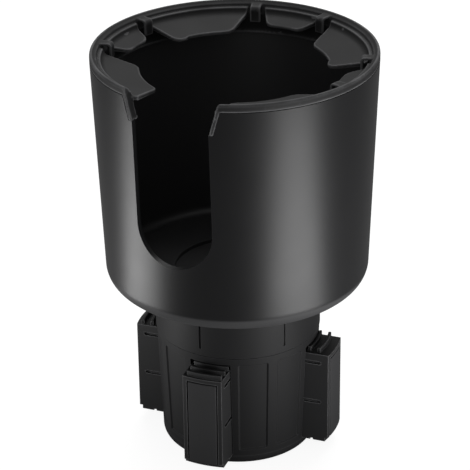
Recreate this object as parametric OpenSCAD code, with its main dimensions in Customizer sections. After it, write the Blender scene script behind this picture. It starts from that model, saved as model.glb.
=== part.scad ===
// Cup holder expander for a car: a wide cup with a mug-handle slot stands on a round base.
// Twisting the cup turns a spiral plate in the base, which draws four jaws in or out until
// they grip the car's own cup holder. Millimetres, +Z up, the cup's axis on Z, the slot towards -Y.

/* [Cup] */
// Outer radius of the cup at its rim
cup_top_r = 57.9; // [54:0.1:62]
// How much narrower the cup is just above its bottom edge
cup_taper_w = 3.2; // [0:0.1:6]
// Height of the cup from its underside to its rim
cup_h = 96.8; // [80:0.1:120]
// Thickness of the cup's wall
cup_wall = 2.4; // [1.8:0.1:3.2]
// Thickness of the cup's floor
cup_floor = 3.8; // [3.2:0.1:5]
// Radius of the rounded bottom edge
cup_edge_r = 8; // [6:0.1:11]
// Depth of the round recess in the floor
recess_d = 1.6; // [1.2:0.1:1.8]
// Radius of the round recess in the floor
recess_r = 26; // [23:0.1:30]
// Radius of the centre well that holds the bolt's head
well_r = 10.5; // [9.5:0.1:12]
// Depth of the centre well below the recess
well_d = 4.4; // [3.8:0.1:5.2]

/* [Handle slot] */
// Width of the slot
slot_w = 33; // [26:0.1:38]
// Height of the slot's round end above the cup's underside
slot_z = 27.4; // [18:0.1:40]
// How far each side of the slot leans out at the rim
flare_w = 2.6; // [1.6:0.1:4]
// Height of the leaning stretch under the rim
flare_h = 9.6; // [7:0.1:14]

/* [Rubber ring] */
// Height of the ring above the cup's rim
ring_h = 3.6; // [3:0.1:5]
// Width of the ring's top
ring_w = 3.4; // [2.8:0.1:4]
// Radius that rounds the ring's top edges
ring_round = 1; // [0.6:0.1:1.4]
// How far the inner skirt hangs below the rim
skirt_d = 10; // [8:0.1:13]
// Thickness of the inner skirt
skirt_t = 1.6; // [1.2:0.1:2]
// How far the long flaps reach in from the skirt
long_flap = 15.4; // [11:0.1:19]
// How far the short flaps reach in from the skirt
short_flap = 8.6; // [6:0.1:11]
// How far the long flaps' lobes reach past their tips
lobe_w = 1; // [0.6:0.1:1.6]
// Thickness of the flaps
flap_t = 1.5; // [1.2:0.1:2]
// Depth of the flaps' roots below the ring's top
flap_z = 5; // [4:0.1:6]
// Slope of the flaps in degrees
flap_slope = 8.5; // [4:0.5:12]
// Width of the hooks between the flaps
hook_w = 4.4; // [3.6:0.1:5.4]
// How far the hooks stand in from the skirt
hook_d = 3.2; // [2.8:0.1:4]
// Height of the hooks
hook_h = 6.8; // [5:0.1:8]
// Thickness of the rubber that covers the slot's upper edges
leg_t = 1.7; // [1.2:0.1:2.2]

/* [Collar] */
// How far the collar stands out past the drum's top
collar_lip_w = 0.2; // [0:0.1:2]
// Height of the collar
collar_h = 22; // [18:0.1:28]
// Thickness of the collar's wall
collar_wall = 2.6; // [2:0.1:3]
// Thickness of the collar's top deck
collar_deck = 3; // [2.4:0.1:3.6]
// Number of grooves around the collar
collar_grooves = 6; // [4:1:12]
// Width of a groove
groove_w = 0.9; // [0.6:0.1:1.4]
// Depth of a groove
groove_d = 0.6; // [0.4:0.1:0.9]

/* [Base drum] */
// Outer radius of the drum at its top
drum_top_r = 34.5; // [33.8:0.1:35.5]
// How much narrower the drum is at its foot
drum_taper_w = 1.8; // [0:0.1:2.2]
// Height of the base
drum_h = 52; // [48:0.1:60]
// Thickness of the drum's wall at its foot
drum_wall = 2.4; // [2:0.1:3]
// Height of the bottom cover's edge
cover_h = 4.4; // [3.8:0.1:5.4]
// Radius that rounds the foot
foot_round = 3.4; // [2:0.1:3.6]
// Depth of the panels in the drum's side
panel_d = 0.6; // [0.3:0.1:0.8]
// Width of one panel in degrees
panel_a = 22; // [16:0.5:23]
// Radius of the column that carries the centre bolt
column_r = 7; // [6:0.1:7.4]

/* [Jaws] */
// Width of a jaw
jaw_w = 17; // [14:0.1:17.4]
// Reach of the jaws from the axis when they are out
jaw_reach = 43.8; // [42:0.1:46]
// Travel of the jaws
jaw_travel = 9.6; // [7:0.1:10]
// Length of a jaw
jaw_len = 22.6; // [21.6:0.1:23.2]
// Thickness of a jaw's side walls
jaw_wall = 2.5; // [2.1:0.1:3]
// Turn of the jaws from the slot, in degrees
jaw_turn = 6.5; // [-20:0.5:20]
// Thickness of the rubber pad
pad_t = 1.3; // [1:0.1:1.8]
// Width of the frame around the pad
pad_frame = 1.8; // [1.2:0.1:2.6]
// Height of the guide grooves in the jaws' sides
guide_h = 1.4; // [1.1:0.1:1.8]
// Depth of the guide grooves
guide_d = 0.9; // [0.7:0.1:1.2]

/* [Scroll] */
// Distance between the turns of the spiral
scroll_pitch = 4; // [3.8:0.1:4.6]
// Thickness of the spiral rib
rib_w = 1.2; // [0.9:0.1:1.3]
// Height of the spiral rib and of the jaws' teeth
tooth_h = 2.1; // [1.6:0.1:2.4]
// Thickness of the jaws' teeth
tooth_t = 1.3; // [1:0.1:1.4]
// Thickness of the spiral plate
scroll_plate_t = 2.7; // [2.2:0.1:2.9]

/* [Fasteners] */
// Diameter of the centre bolt
bolt_d = 6; // [5:0.1:6.4]
// Diameter of the screws
screw_d = 3; // [2.5:0.1:3.4]
// Distance of the cup's screws from the axis
cup_screw_r = 18; // [17:0.1:20]
// Distance of the bottom cover's screws from the drum's bore
cover_screw_in = 6.8; // [6.4:0.1:7.6]

/* [Hidden] */
$fn = 96;

// Clearances
run_gap = 0.3;
slide_gap = 0.15;
fit_gap = 0.1;
bore_gap = 0.08;
seam = 0.3;
over = 1;

// Counts that follow from the four jaws
jaws = 4;
jaw_pitch = 360 / jaws;

// Heights in the base
ledge_z = drum_h - scroll_plate_t - run_gap - slide_gap;
plate_z = ledge_z + slide_gap;
tooth_gap = 0.4;
tooth_top = plate_z - tooth_gap;
jaw_top = tooth_top - tooth_h;
rib_z = plate_z - tooth_h;
jaw_z = cover_h + run_gap;
jaw_step = 1.7;
face_z = jaw_z + jaw_step;
jaw_h = jaw_top - jaw_z;
window_w = jaw_w + 2 * run_gap;
window_top = plate_z + fit_gap;
guide_shares = [0.9, 0.453];
guide_zs = [for (s = guide_shares) jaw_z + s * jaw_h];

// Heights in the cup
collar_z = drum_h + seam;
cup_z = collar_z + collar_h;
floor_top = cup_z + cup_floor;
recess_z = floor_top - recess_d;
well_z = recess_z - well_d;
well_floor_share = 0.5;
well_floor = well_floor_share * cup_floor;
rim_z = cup_z + cup_h;
top_z = rim_z + ring_h;
slot_low = cup_z + slot_z;
flare_z = rim_z - flare_h;

// Radii in the cup
cup_base_r = cup_top_r - cup_taper_w;
cup_slope = cup_taper_w / (cup_h - cup_edge_r);
function cup_out(z) = cup_base_r + cup_slope * (z - cup_z - cup_edge_r);
function cup_in(z) = cup_out(z) - cup_wall;
tongue_h = 1.5;
tongue_t = 0.9;
tongue_r = cup_top_r - cup_wall / 2;
ring_in_r = cup_top_r - ring_w;
skirt_z = rim_z - skirt_d;
skirt_out = cup_in(skirt_z) - fit_gap;
skirt_in = skirt_out - skirt_t;
flap_root = top_z - flap_z;
root_round = 2.6;
hook_t = 1.1;
hook_round = 1.7;
hook_in_r = skirt_in - hook_d;
hook_top = top_z - ring_round;

// Angles around the ring, counted from the side opposite the slot
hook_as = [17, 71.5, 104.5];
root_margin_a = 2.6;
long_tip_a = 9;
short_tip_a = 5;
lobe_a = 7.9;
long_r = 5;
short_r = 4.4;
lobe_r = 4.2;
tip_share = 0.9;
long_tip_r = skirt_in - long_flap;
side_end_a = 180 - asin(slot_w / 2 / cup_top_r);
side_tip_a = asin(slot_w / 2 / long_tip_r) - asin(slot_w / 2 / cup_top_r);

// Radii in the base
collar_r = drum_top_r + collar_lip_w;
drum_base_r = drum_top_r - drum_taper_w;
drum_bore_r = drum_base_r - drum_wall;
drum_slope = drum_taper_w / (drum_h - cover_h);
function drum_out(z) = drum_base_r + drum_slope * (z - cover_h);
seat_wall = 2.7;
seat_r = drum_top_r - seat_wall;
plate_r = seat_r - run_gap;
post_t = 1.5;
web_t = 1.5;
cover_screw_r = drum_bore_r - cover_screw_in;
boss_r = screw_d;
bore_wall = 0.6;
panel_margin = 2.8;
panel_low = cover_h + panel_margin;
panel_high = drum_h - panel_margin;
panel_split = 28.4;
scroll_in = 12;
scroll_out = drum_bore_r - run_gap;
scroll_steps = 40;
drift = scroll_pitch / (2 * PI);
drift_in = jaw_travel / 2;
jaw_back = jaw_reach - jaw_len;
jaw_edge = sqrt(jaw_reach * jaw_reach - jaw_w * jaw_w / 4);
pad_back = jaw_reach - pad_t;
pad_gap = 0.3;
pad_proud = 0.15;
tooth_margin = 1.1;
tooth_w = jaw_w - 2 * tooth_margin;
tooth_low_r = jaw_back + 2 * tooth_margin;
tooth_high_r = jaw_reach - 1.5 * tooth_margin;
guide_margin = 3.2;
guide_stop = jaw_edge - guide_margin;
rail_out = min(guide_stop - jaw_travel, drum_bore_r) - run_gap;
column_gap = 3;
rail_in = column_r + column_gap;
rail_h = guide_h - 2 * run_gap;
rail_d = guide_d - run_gap + fit_gap;

// Bolt, washers, insert and screws
bolt_r = bolt_d / 2;
head_share = 0.8;
head_r = head_share * bolt_d;
socket_share = 0.42;
socket_r = socket_share * bolt_d;
head_h = socket_share * bolt_d;
socket_d = head_h / 2;
washer_share = 1.2;
washer_r = washer_share * bolt_d;
washer_t = 0.9;
spring_share = 0.85;
spring_r = spring_share * bolt_d;
spring_t = 1.1;
spring_cut = 0.9;
washer_z = well_z + fit_gap;
spring_z = washer_z + washer_t;
head_z = spring_z + spring_t;
column_top = rib_z - run_gap - slide_gap;
insert_wall = 1.1;
insert_r = bolt_r + insert_wall;
insert_h = 10;
bolt_end = column_top - insert_h;
pilot_d = 6;
screw_r = screw_d / 2;
screw_head_r = screw_d;
screw_head_h = 1.5;
screw_gap = 0.2;
screw_hole_r = screw_r + screw_gap;
cross_w = 0.7;
cross_share = 1.1;
cross_l = cross_share * screw_d;
cross_d = 0.8;
cup_screw_len = 14;
cover_sink = 2.4;
cover_screw_len = 11;
hub_wall = 2.6;
hub_r = bolt_r + hub_wall;
cover_rim_h = 2;
cover_rim_t = 1.6;

// A point at a radius and an angle, the angle counted from -Y towards +X
function polar(r, a) = [r * sin(a), -r * cos(a)];

// The corner between two sides of an outline, rounded as an arc of short chords
function unit(v) = v / norm(v);
function corner(a, b, c, r, n = 5) =
    let (u = unit(a - b), w = unit(c - b), half = acos(u * w) / 2,
         m = b + unit(u + w) * r / sin(half),
         p = b + u * r / tan(half) - m, q = b + w * r / tan(half) - m,
         start = atan2(p.y, p.x), turn = atan2(p.x * q.y - p.y * q.x, p * q))
    [for (i = [0:n]) m + r * [cos(start + turn * i / n), sin(start + turn * i / n)]];

// A screw's cross recess, cut downwards from its head's top
module cross_cut() {
    for (a = [0, 90])
        rotate([0, 0, a])
            translate([-cross_l / 2, -cross_w / 2, -cross_d])
                cube([cross_l, cross_w, cross_d + over]);
}

// The cup

module cup_outside() {
    translate([cup_base_r - cup_edge_r, cup_z + cup_edge_r])
        circle(cup_edge_r);
    translate([0, cup_z])
        square([cup_base_r - cup_edge_r, cup_h]);
    polygon([[0, cup_z + cup_edge_r], [cup_base_r, cup_z + cup_edge_r],
             [cup_top_r, rim_z], [0, rim_z]]);
}

module cup_inside() {
    edge = cup_edge_r - cup_wall;
    low = floor_top + edge;
    translate([cup_in(low) - edge, low])
        circle(edge);
    translate([0, floor_top])
        square([cup_in(low) - edge, cup_h]);
    polygon([[0, low], [cup_in(low), low], [cup_in(rim_z + over), rim_z + over], [0, rim_z + over]]);
}

// The slot's outline as seen from the front, widened by a gap
module slot_outline(grow) {
    half = slot_w / 2;
    translate([0, slot_low + half])
        circle(half);
    translate([-half, slot_low + half])
        square([slot_w, cup_h]);
    polygon([[-half - grow, flare_z - min(grow, fit_gap)], [half + grow, flare_z - min(grow, fit_gap)],
             [half + grow + flare_w * (flare_h + ring_h + over) / flare_h, top_z + over],
             [-half - grow - flare_w * (flare_h + ring_h + over) / flare_h, top_z + over]]);
}

module slot_cut(grow) {
    rotate([90, 0, 0])
        linear_extrude(cup_top_r + over)
            slot_outline(grow);
}

module cup_shell() {
    color([0.06, 0.06, 0.065])
        difference() {
            union() {
                rotate_extrude()
                    difference() {
                        cup_outside();
                        cup_inside();
                    }
                rotate_extrude()
                    translate([tongue_r - tongue_t / 2, rim_z - over])
                        square([tongue_t, tongue_h + over]);
                translate([0, 0, well_z - well_floor])
                    cylinder(h = floor_top - well_z, r = well_r + well_floor);
            }
            translate([0, 0, recess_z])
                cylinder(h = recess_d + over, r = recess_r);
            translate([0, 0, well_z])
                cylinder(h = cup_floor + well_d, r = well_r);
            translate([0, 0, well_z - well_floor - over])
                cylinder(h = well_floor + 2 * over, r = bolt_r + run_gap);
            for (i = [0:jaws - 1])
                rotate([0, 0, jaw_pitch * (i + 0.5)])
                    translate([0, -cup_screw_r, cup_z - over])
                        cylinder(h = cup_floor + 2 * over, r = screw_hole_r, $fn = 32);
            slot_cut(leg_t + fit_gap);
        }
}

// The rubber ring

module ring_profile() {
    polygon([[skirt_in, skirt_z], [skirt_out, skirt_z],
             [cup_in(rim_z) - fit_gap, rim_z], [cup_top_r, rim_z],
             [cup_top_r, top_z - ring_round], [cup_top_r - ring_round, top_z - ring_round],
             [cup_top_r - ring_round, top_z], [ring_in_r + ring_round, top_z],
             [ring_in_r + ring_round, top_z - ring_round], [ring_in_r, top_z - ring_round],
             [skirt_in, flap_root]]);
    for (r = [cup_top_r - ring_round, ring_in_r + ring_round])
        translate([r, top_z - ring_round])
            circle(ring_round, $fn = 32);
}

module flap_profile(reach) {
    drop = reach * tan(flap_slope);
    back = skirt_in + skirt_t / 2;
    polygon([[skirt_in - reach, flap_root - drop - flap_t], [skirt_in, flap_root - flap_t],
             [back, flap_root - flap_t], [back, flap_root], [skirt_in, flap_root],
             [skirt_in - reach, flap_root - drop]]);
    difference() {
        translate([skirt_in - root_round, flap_root - flap_t])
            square([root_round, root_round + flap_t]);
        translate([skirt_in - root_round, flap_root + root_round])
            circle(root_round, $fn = 48);
        translate([skirt_in - root_round - over, flap_root - flap_t - over])
            square([root_round + over, over]);
    }
}

// The plan of one flap between two angles, its sides leaning in and its corners rounded
module flap_plan(a0, a1, lean0, lean1, reach, r0, r1) {
    r_tip = skirt_in - reach;
    tip0 = a0 + lean0;
    tip1 = a1 - lean1;
    p = [polar(cup_top_r, a0), polar(r_tip, tip0), polar(r_tip, tip1), polar(cup_top_r, a1)];
    difference() {
        polygon(concat([p[0]], corner(p[0], p[1], p[1] + [cos(tip0), sin(tip0)], r0),
                       [polar(tip_share * r_tip, (tip0 + tip1) / 2)],
                       corner(p[2] - [cos(tip1), sin(tip1)], p[2], p[3], r1), [p[3]]));
        circle(r_tip);
    }
}

// The lobe at the end of a flap, which stands in past its tip, with its side tangent to it
module lobe_plan(a) {
    middle = polar(long_tip_r - lobe_w + lobe_r, a - lobe_a);
    far = polar(cup_top_r, a);
    u = unit(far - middle);
    share = lobe_r / norm(far - middle);
    touch = middle + lobe_r * (share * u + sqrt(1 - share * share) * [-u.y, u.x]);
    translate(middle)
        circle(lobe_r, $fn = 48);
    polygon([polar(cup_top_r, a - lobe_a), middle, touch, far]);
}

// A flap's shape over the plan that it is given
module flap(reach) {
    intersection() {
        rotate_extrude()
            flap_profile(reach);
        translate([0, 0, flap_root - 2 * reach])
            linear_extrude(2 * reach + flap_z)
                rotate([0, 0, 180])
                    children();
    }
}

// The flaps of one side, from the back to the slot
module side_flaps() {
    flap(long_flap + lobe_w) {
        flap_plan(hook_as[0] + root_margin_a, hook_as[1] - root_margin_a,
                  long_tip_a, lobe_a, long_flap, long_r, lobe_r);
        lobe_plan(hook_as[1] - root_margin_a);
    }
    flap(short_flap)
        flap_plan(hook_as[1] + root_margin_a, hook_as[2] - root_margin_a,
                  short_tip_a, short_tip_a, short_flap, short_r, short_r);
    flap(long_flap)
        flap_plan(hook_as[2] + root_margin_a, side_end_a,
                  long_tip_a, side_tip_a, long_flap, long_r, lobe_r);
}

// A rubber hook that hangs from the ring's inner edge
module hook_profile() {
    inner = hook_in_r + hook_t;
    low = hook_top - hook_h;
    back = ring_in_r + ring_round / 2;
    under = hook_top - hook_t;
    polygon(concat([[back, hook_top]],
                   corner([back, hook_top], [hook_in_r, hook_top], [hook_in_r, low], hook_round),
                   [[hook_in_r, low], [inner, low]],
                   corner([inner, low], [inner, under], [back, under], hook_round - hook_t),
                   [[back, under]]));
}

module hook(a) {
    rotate([0, 0, 90 + a])
        rotate([90, 0, 0])
            linear_extrude(hook_w, center = true)
                hook_profile();
}

// Rubber over the slot's upper edges, cut to the cup wall's thickness
module ring_legs() {
    intersection() {
        rotate([90, 0, 0])
            linear_extrude(cup_top_r + over)
                difference() {
                    slot_outline(leg_t);
                    slot_outline(0);
                }
        rotate_extrude()
            polygon([[skirt_in, flare_z - leg_t], [cup_out(flare_z - leg_t), flare_z - leg_t],
                     [cup_top_r, rim_z], [cup_top_r, rim_z + fit_gap], [skirt_in, rim_z + fit_gap]]);
        translate([-cup_top_r, -cup_top_r, flare_z])
            cube([2 * cup_top_r, cup_top_r, flare_h + over]);
    }
}

module rubber_ring() {
    color([0.11, 0.11, 0.115]) {
        difference() {
            union() {
                rotate_extrude()
                    ring_profile();
                for (s = [-1, 1])
                    for (a = hook_as)
                        hook(s * a);
                ring_legs();
            }
            rotate_extrude()
                translate([tongue_r - tongue_t / 2 - fit_gap, rim_z - over])
                    square([tongue_t + 2 * fit_gap, tongue_h + fit_gap + over]);
            slot_cut(0);
        }
        flap(short_flap)
            flap_plan(-hook_as[0] + root_margin_a, hook_as[0] - root_margin_a,
                      short_tip_a, short_tip_a, short_flap, short_r, short_r);
        side_flaps();
        mirror([1, 0, 0])
            side_flaps();
    }
}

// The collar under the cup

module collar() {
    color([0.13, 0.13, 0.135])
        difference() {
            translate([0, 0, collar_z])
                cylinder(h = collar_h, r = collar_r);
            translate([0, 0, collar_z - over])
                cylinder(h = collar_h - collar_deck + over, r = collar_r - collar_wall);
            translate([0, 0, cup_z - collar_deck - over])
                cylinder(h = collar_deck + 2 * over, r = well_r + well_floor + run_gap);
            for (i = [0:jaws - 1])
                rotate([0, 0, jaw_pitch * (i + 0.5)])
                    translate([0, -cup_screw_r, cup_z - collar_deck - over])
                        cylinder(h = collar_deck + 2 * over, r = screw_hole_r, $fn = 32);
            for (i = [0:collar_grooves - 1])
                rotate([0, 0, i * 360 / collar_grooves])
                    translate([-groove_w / 2, -collar_r - over, collar_z + collar_deck])
                        cube([groove_w, groove_d + over, collar_h]);
        }
}

// The spiral plate: its rib moves in by one pitch for each turn against the clock

function scroll_r(a) = scroll_pitch * a / 360;

module spiral_rib() {
    a0 = 360 * scroll_in / scroll_pitch;
    a1 = 360 * scroll_out / scroll_pitch;
    step = 360 / scroll_steps;
    angles = [for (a = [a0:step:a1]) a];
    inner = [for (a = angles) polar(scroll_r(a) - rib_w / 2, a)];
    outer = [for (i = [len(angles) - 1:-1:0]) polar(scroll_r(angles[i]) + rib_w / 2, angles[i])];
    translate([0, 0, rib_z])
        linear_extrude(tooth_h + fit_gap)
            intersection() {
                polygon(concat(inner, outer));
                circle(scroll_out);
            }
}

module scroll_plate() {
    deck_z = cup_z - collar_deck;
    color([0.1, 0.1, 0.1])
        difference() {
            union() {
                translate([0, 0, plate_z])
                    cylinder(h = scroll_plate_t, r = plate_r);
                translate([0, 0, plate_z])
                    cylinder(h = well_z - well_floor - plate_z, r = hub_r);
                for (i = [0:jaws - 1])
                    rotate([0, 0, jaw_pitch * (i + 0.5)])
                        translate([0, -cup_screw_r, plate_z])
                            cylinder(h = deck_z - plate_z, r = boss_r);
                for (i = [0:jaws - 1])
                    rotate([0, 0, jaw_pitch * (i + 0.5)])
                        translate([-web_t / 2, -cup_screw_r, plate_z])
                            cube([web_t, cup_screw_r - bolt_r - 2 * bore_gap, scroll_plate_t + collar_h / 3]);
                spiral_rib();
            }
            translate([0, 0, rib_z - over])
                cylinder(h = cup_z, r = bolt_r + bore_gap);
            for (i = [0:jaws - 1])
                rotate([0, 0, jaw_pitch * (i + 0.5)])
                    translate([0, -cup_screw_r, recess_z - cup_screw_len])
                        cylinder(h = cup_screw_len, r = screw_r, $fn = 32);
        }
}

// A pan-head screw that points down, with its head's underside at zero
module pan_screw(len) {
    difference() {
        union() {
            translate([0, 0, -len])
                cylinder(h = len, r = screw_r, $fn = 32);
            cylinder(h = screw_head_h, r = screw_head_r, $fn = 48);
        }
        translate([0, 0, screw_head_h])
            cross_cut();
    }
}

module cup_screws() {
    color([0.7, 0.7, 0.72])
        for (i = [0:jaws - 1])
            rotate([0, 0, jaw_pitch * (i + 0.5)])
                translate([0, -cup_screw_r, recess_z])
                    pan_screw(cup_screw_len);
}

// The drum

module at_jaw(i) {
    rotate([0, 0, jaw_turn + jaw_pitch * i])
        children();
}

// A corner post between two jaw channels, with a web and a screw boss on its diagonal
module corner_post() {
    inner = window_w / 2;
    web_in = (inner + post_t / 2) * sqrt(2);
    post_h = jaw_top - run_gap - cover_h;
    translate([0, 0, cover_h])
        intersection() {
            union() {
                translate([inner - over, inner - over, 0])
                    cube([post_t + over, drum_bore_r, post_h]);
                translate([inner - over, inner - over, 0])
                    cube([drum_bore_r, post_t + over, post_h]);
            }
            cylinder(h = post_h, r = drum_bore_r + fit_gap);
        }
    rotate([0, 0, 45]) {
        translate([web_in, -web_t / 2, cover_h + web_t])
            cube([drum_bore_r + fit_gap - web_in, web_t, post_h - jaw_h / 4]);
        translate([cover_screw_r, 0, cover_h])
            cylinder(h = cover_screw_len + 2 * web_t, r = boss_r + bore_wall);
    }
}

module drum_panel(side) {
    a = side * panel_split / 2 - panel_a / 2;
    rotate([0, 0, jaw_pitch / 2 - 90 + a])
        rotate_extrude(angle = panel_a)
            polygon([[drum_out(panel_low) - panel_d, panel_low], [drum_top_r + over, panel_low],
                     [drum_top_r + over, panel_high], [drum_out(panel_high) - panel_d, panel_high]]);
}

module guide_rails() {
    for (s = [-1, 1])
        for (z = guide_zs)
            translate([s > 0 ? window_w / 2 - rail_d : -window_w / 2 - fit_gap, -rail_out, z - rail_h / 2])
                cube([rail_d + fit_gap, rail_out - rail_in, rail_h]);
}

module drum() {
    color([0.13, 0.13, 0.135]) {
        difference() {
            union() {
                rotate_extrude()
                    polygon([[drum_bore_r, cover_h], [drum_base_r, cover_h], [drum_top_r, drum_h],
                             [seat_r, drum_h], [seat_r, ledge_z], [drum_bore_r, ledge_z]]);
                for (i = [0:jaws - 1])
                    at_jaw(i)
                        corner_post();
            }
            for (i = [0:jaws - 1])
                at_jaw(i) {
                    translate([-window_w / 2, -drum_top_r - over, cover_h - over])
                        cube([window_w, drum_top_r + over, window_top - cover_h + over]);
                    drum_panel(-1);
                    drum_panel(1);
                    rotate([0, 0, 45])
                        translate([cover_screw_r, 0, cover_h - over])
                            cylinder(h = cover_screw_len - cover_h + cover_sink + over, r = screw_r, $fn = 32);
                }
        }
        for (i = [0:jaws - 1])
            at_jaw(i)
                guide_rails();
    }
}

// The bottom cover with the column for the centre bolt

// Short stretches of rim that centre the cover in the drum, clear of the jaws and the screws
module cover_rim() {
    clear_w = window_w + 2 * post_t + 2 * run_gap;
    boss_w = 2 * boss_r + screw_d;
    difference() {
        rotate_extrude()
            translate([drum_bore_r - fit_gap - cover_rim_t, cover_h / 2])
                square([cover_rim_t, cover_h / 2 + cover_rim_h]);
        for (i = [0:jaws - 1])
            at_jaw(i) {
                translate([-clear_w / 2, -drum_top_r, 0])
                    cube([clear_w, drum_top_r, drum_h]);
                rotate([0, 0, 45])
                    translate([cover_screw_r, -boss_w / 2, 0])
                        cube([drum_top_r, boss_w, drum_h]);
            }
    }
}

module bottom_cover() {
    color([0.13, 0.13, 0.135])
        difference() {
            union() {
                rotate_extrude()
                    intersection() {
                        square([drum_base_r, cover_h]);
                        union() {
                            square([drum_base_r - foot_round, cover_h]);
                            translate([0, foot_round])
                                square([drum_base_r, cover_h]);
                            translate([drum_base_r - foot_round, foot_round])
                                circle(foot_round, $fn = 64);
                        }
                    }
                cylinder(h = column_top, r = column_r);
                cover_rim();
            }
            translate([0, 0, column_top - insert_h])
                cylinder(h = insert_h + over, r = insert_r);
            translate([0, 0, bolt_end - pilot_d])
                cylinder(h = pilot_d + over, r = bolt_r + run_gap);
            for (i = [0:jaws - 1])
                at_jaw(i)
                    rotate([0, 0, 45])
                        translate([cover_screw_r, 0, -over]) {
                            cylinder(h = cover_h + 2 * over, r = screw_hole_r, $fn = 32);
                            cylinder(h = cover_sink + over, r = screw_head_r + run_gap, $fn = 48);
                        }
        }
}

module cover_screws() {
    color([0.7, 0.7, 0.72])
        for (i = [0:jaws - 1])
            at_jaw(i)
                rotate([0, 0, 45])
                    translate([cover_screw_r, 0, cover_sink])
                        rotate([180, 0, 0])
                            pan_screw(cover_screw_len - screw_d / 2);
}

// Centre bolt and what goes with it

module threaded_insert() {
    color([0.75, 0.6, 0.3])
        translate([0, 0, column_top - insert_h])
            difference() {
                cylinder(h = insert_h, r = insert_r);
                translate([0, 0, -over])
                    cylinder(h = insert_h + 2 * over, r = bolt_r);
            }
}

module centre_bolt() {
    color([0.55, 0.55, 0.57])
        difference() {
            union() {
                translate([0, 0, bolt_end])
                    cylinder(h = head_z - bolt_end, r = bolt_r);
                translate([0, 0, head_z])
                    cylinder(h = head_h, r = head_r);
            }
            translate([0, 0, head_z + head_h - socket_d])
                cylinder(h = head_h, r = socket_r, $fn = 6);
        }
}

module flat_washer() {
    color([0.7, 0.7, 0.72])
        translate([0, 0, washer_z])
            difference() {
                cylinder(h = washer_t, r = washer_r);
                translate([0, 0, -over])
                    cylinder(h = washer_t + 2 * over, r = bolt_r + bore_gap);
            }
}

module spring_washer() {
    color([0.45, 0.45, 0.47])
        translate([0, 0, spring_z])
            difference() {
                cylinder(h = spring_t, r = spring_r);
                translate([0, 0, -over])
                    cylinder(h = spring_t + 2 * over, r = bolt_r + bore_gap);
                rotate([0, 0, 60])
                    translate([-spring_cut / 2, 0, -over])
                        cube([spring_cut, spring_r + over, spring_t + 2 * over]);
            }
}

// The jaws, each drawn pointing to -Y at its full reach

// Radii of a jaw's teeth: half-way between the turns of the spiral at that jaw
function tooth_radii(i) =
    let (first = scroll_r(jaw_turn + jaw_pitch * i) + scroll_pitch / 2)
    [for (k = [0:ceil(jaw_reach / scroll_pitch)])
        let (r = first + k * scroll_pitch)
        if (r > tooth_low_r && r < tooth_high_r) r];

module jaw_tooth(r) {
    arc = r - drift_in;
    intersection() {
        translate([drift, -drift_in, jaw_top - fit_gap])
            difference() {
                cylinder(h = tooth_h + fit_gap, r = arc + tooth_t / 2);
                translate([0, 0, -over])
                    cylinder(h = tooth_h + 2 * over, r = arc - tooth_t / 2);
            }
        translate([-tooth_w / 2, -jaw_reach, jaw_top - fit_gap])
            cube([tooth_w, jaw_reach - jaw_back, tooth_h + over]);
    }
}

module jaw_pocket(z0, z1) {
    depth = jaw_len - 2 * jaw_wall - pad_t;
    translate([-jaw_w / 2 + jaw_wall, -jaw_back - depth, z0])
        cube([jaw_w - 2 * jaw_wall, depth + over, z1 - z0]);
}

module jaw(i) {
    mid = guide_zs[1];
    color([0.12, 0.12, 0.125])
        at_jaw(i) {
            difference() {
                intersection() {
                    translate([-jaw_w / 2, -jaw_reach - over, jaw_z])
                        cube([jaw_w, jaw_reach + over - jaw_back, jaw_h]);
                    translate([0, 0, jaw_z - over])
                        cylinder(h = jaw_h + 2 * over, r = jaw_reach);
                }
                difference() {
                    union() {
                        translate([-jaw_w, -jaw_reach - over, jaw_z - over])
                            cube([2 * jaw_w, jaw_reach, jaw_step + over]);
                        translate([pad_frame - jaw_w / 2, -jaw_reach - over, jaw_z])
                            cube([jaw_w - 2 * pad_frame, jaw_reach, jaw_h - pad_frame]);
                    }
                    translate([0, 0, jaw_z - 2 * over])
                        cylinder(h = jaw_h + 2 * over, r = pad_back);
                }
                jaw_pocket(jaw_z + jaw_wall, mid - jaw_wall / 2);
                jaw_pocket(mid + jaw_wall / 2, jaw_top - jaw_wall);
                for (s = [-1, 1])
                    for (z = guide_zs)
                        translate([s > 0 ? jaw_w / 2 - guide_d : -jaw_w / 2 - over, -guide_stop, z - guide_h / 2])
                            cube([guide_d + over, guide_stop - jaw_back + over, guide_h]);
            }
            for (r = tooth_radii(i))
                jaw_tooth(r);
        }
}

module front_jaw() { jaw(0); }
module right_jaw() { jaw(1); }
module back_jaw() { jaw(2); }
module left_jaw() { jaw(3); }

// The rubber pad in a jaw's outer face
module pad(i) {
    w = jaw_w - 2 * pad_frame - 2 * pad_gap;
    color([0.15, 0.15, 0.155])
        at_jaw(i)
            intersection() {
                difference() {
                    translate([0, 0, face_z])
                        cylinder(h = jaw_top - pad_frame - pad_gap - face_z, r = jaw_reach + pad_proud);
                    translate([0, 0, face_z - over])
                        cylinder(h = jaw_h, r = pad_back);
                }
                translate([-w / 2, -jaw_reach - over, face_z])
                    cube([w, jaw_reach, jaw_h]);
            }
}

module front_pad() { pad(0); }
module right_pad() { pad(1); }
module back_pad() { pad(2); }
module left_pad() { pad(3); }

cup_shell();
rubber_ring();
collar();
scroll_plate();
cup_screws();
drum();
bottom_cover();
cover_screws();
threaded_insert();
centre_bolt();
flat_washer();
spring_washer();
front_jaw();
right_jaw();
back_jaw();
left_jaw();
front_pad();
right_pad();
back_pad();
left_pad();
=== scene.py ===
import math

import bmesh
import bpy
from bpy.props import FloatProperty, FloatVectorProperty, IntProperty, PointerProperty
from mathutils import Matrix, Vector


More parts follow.
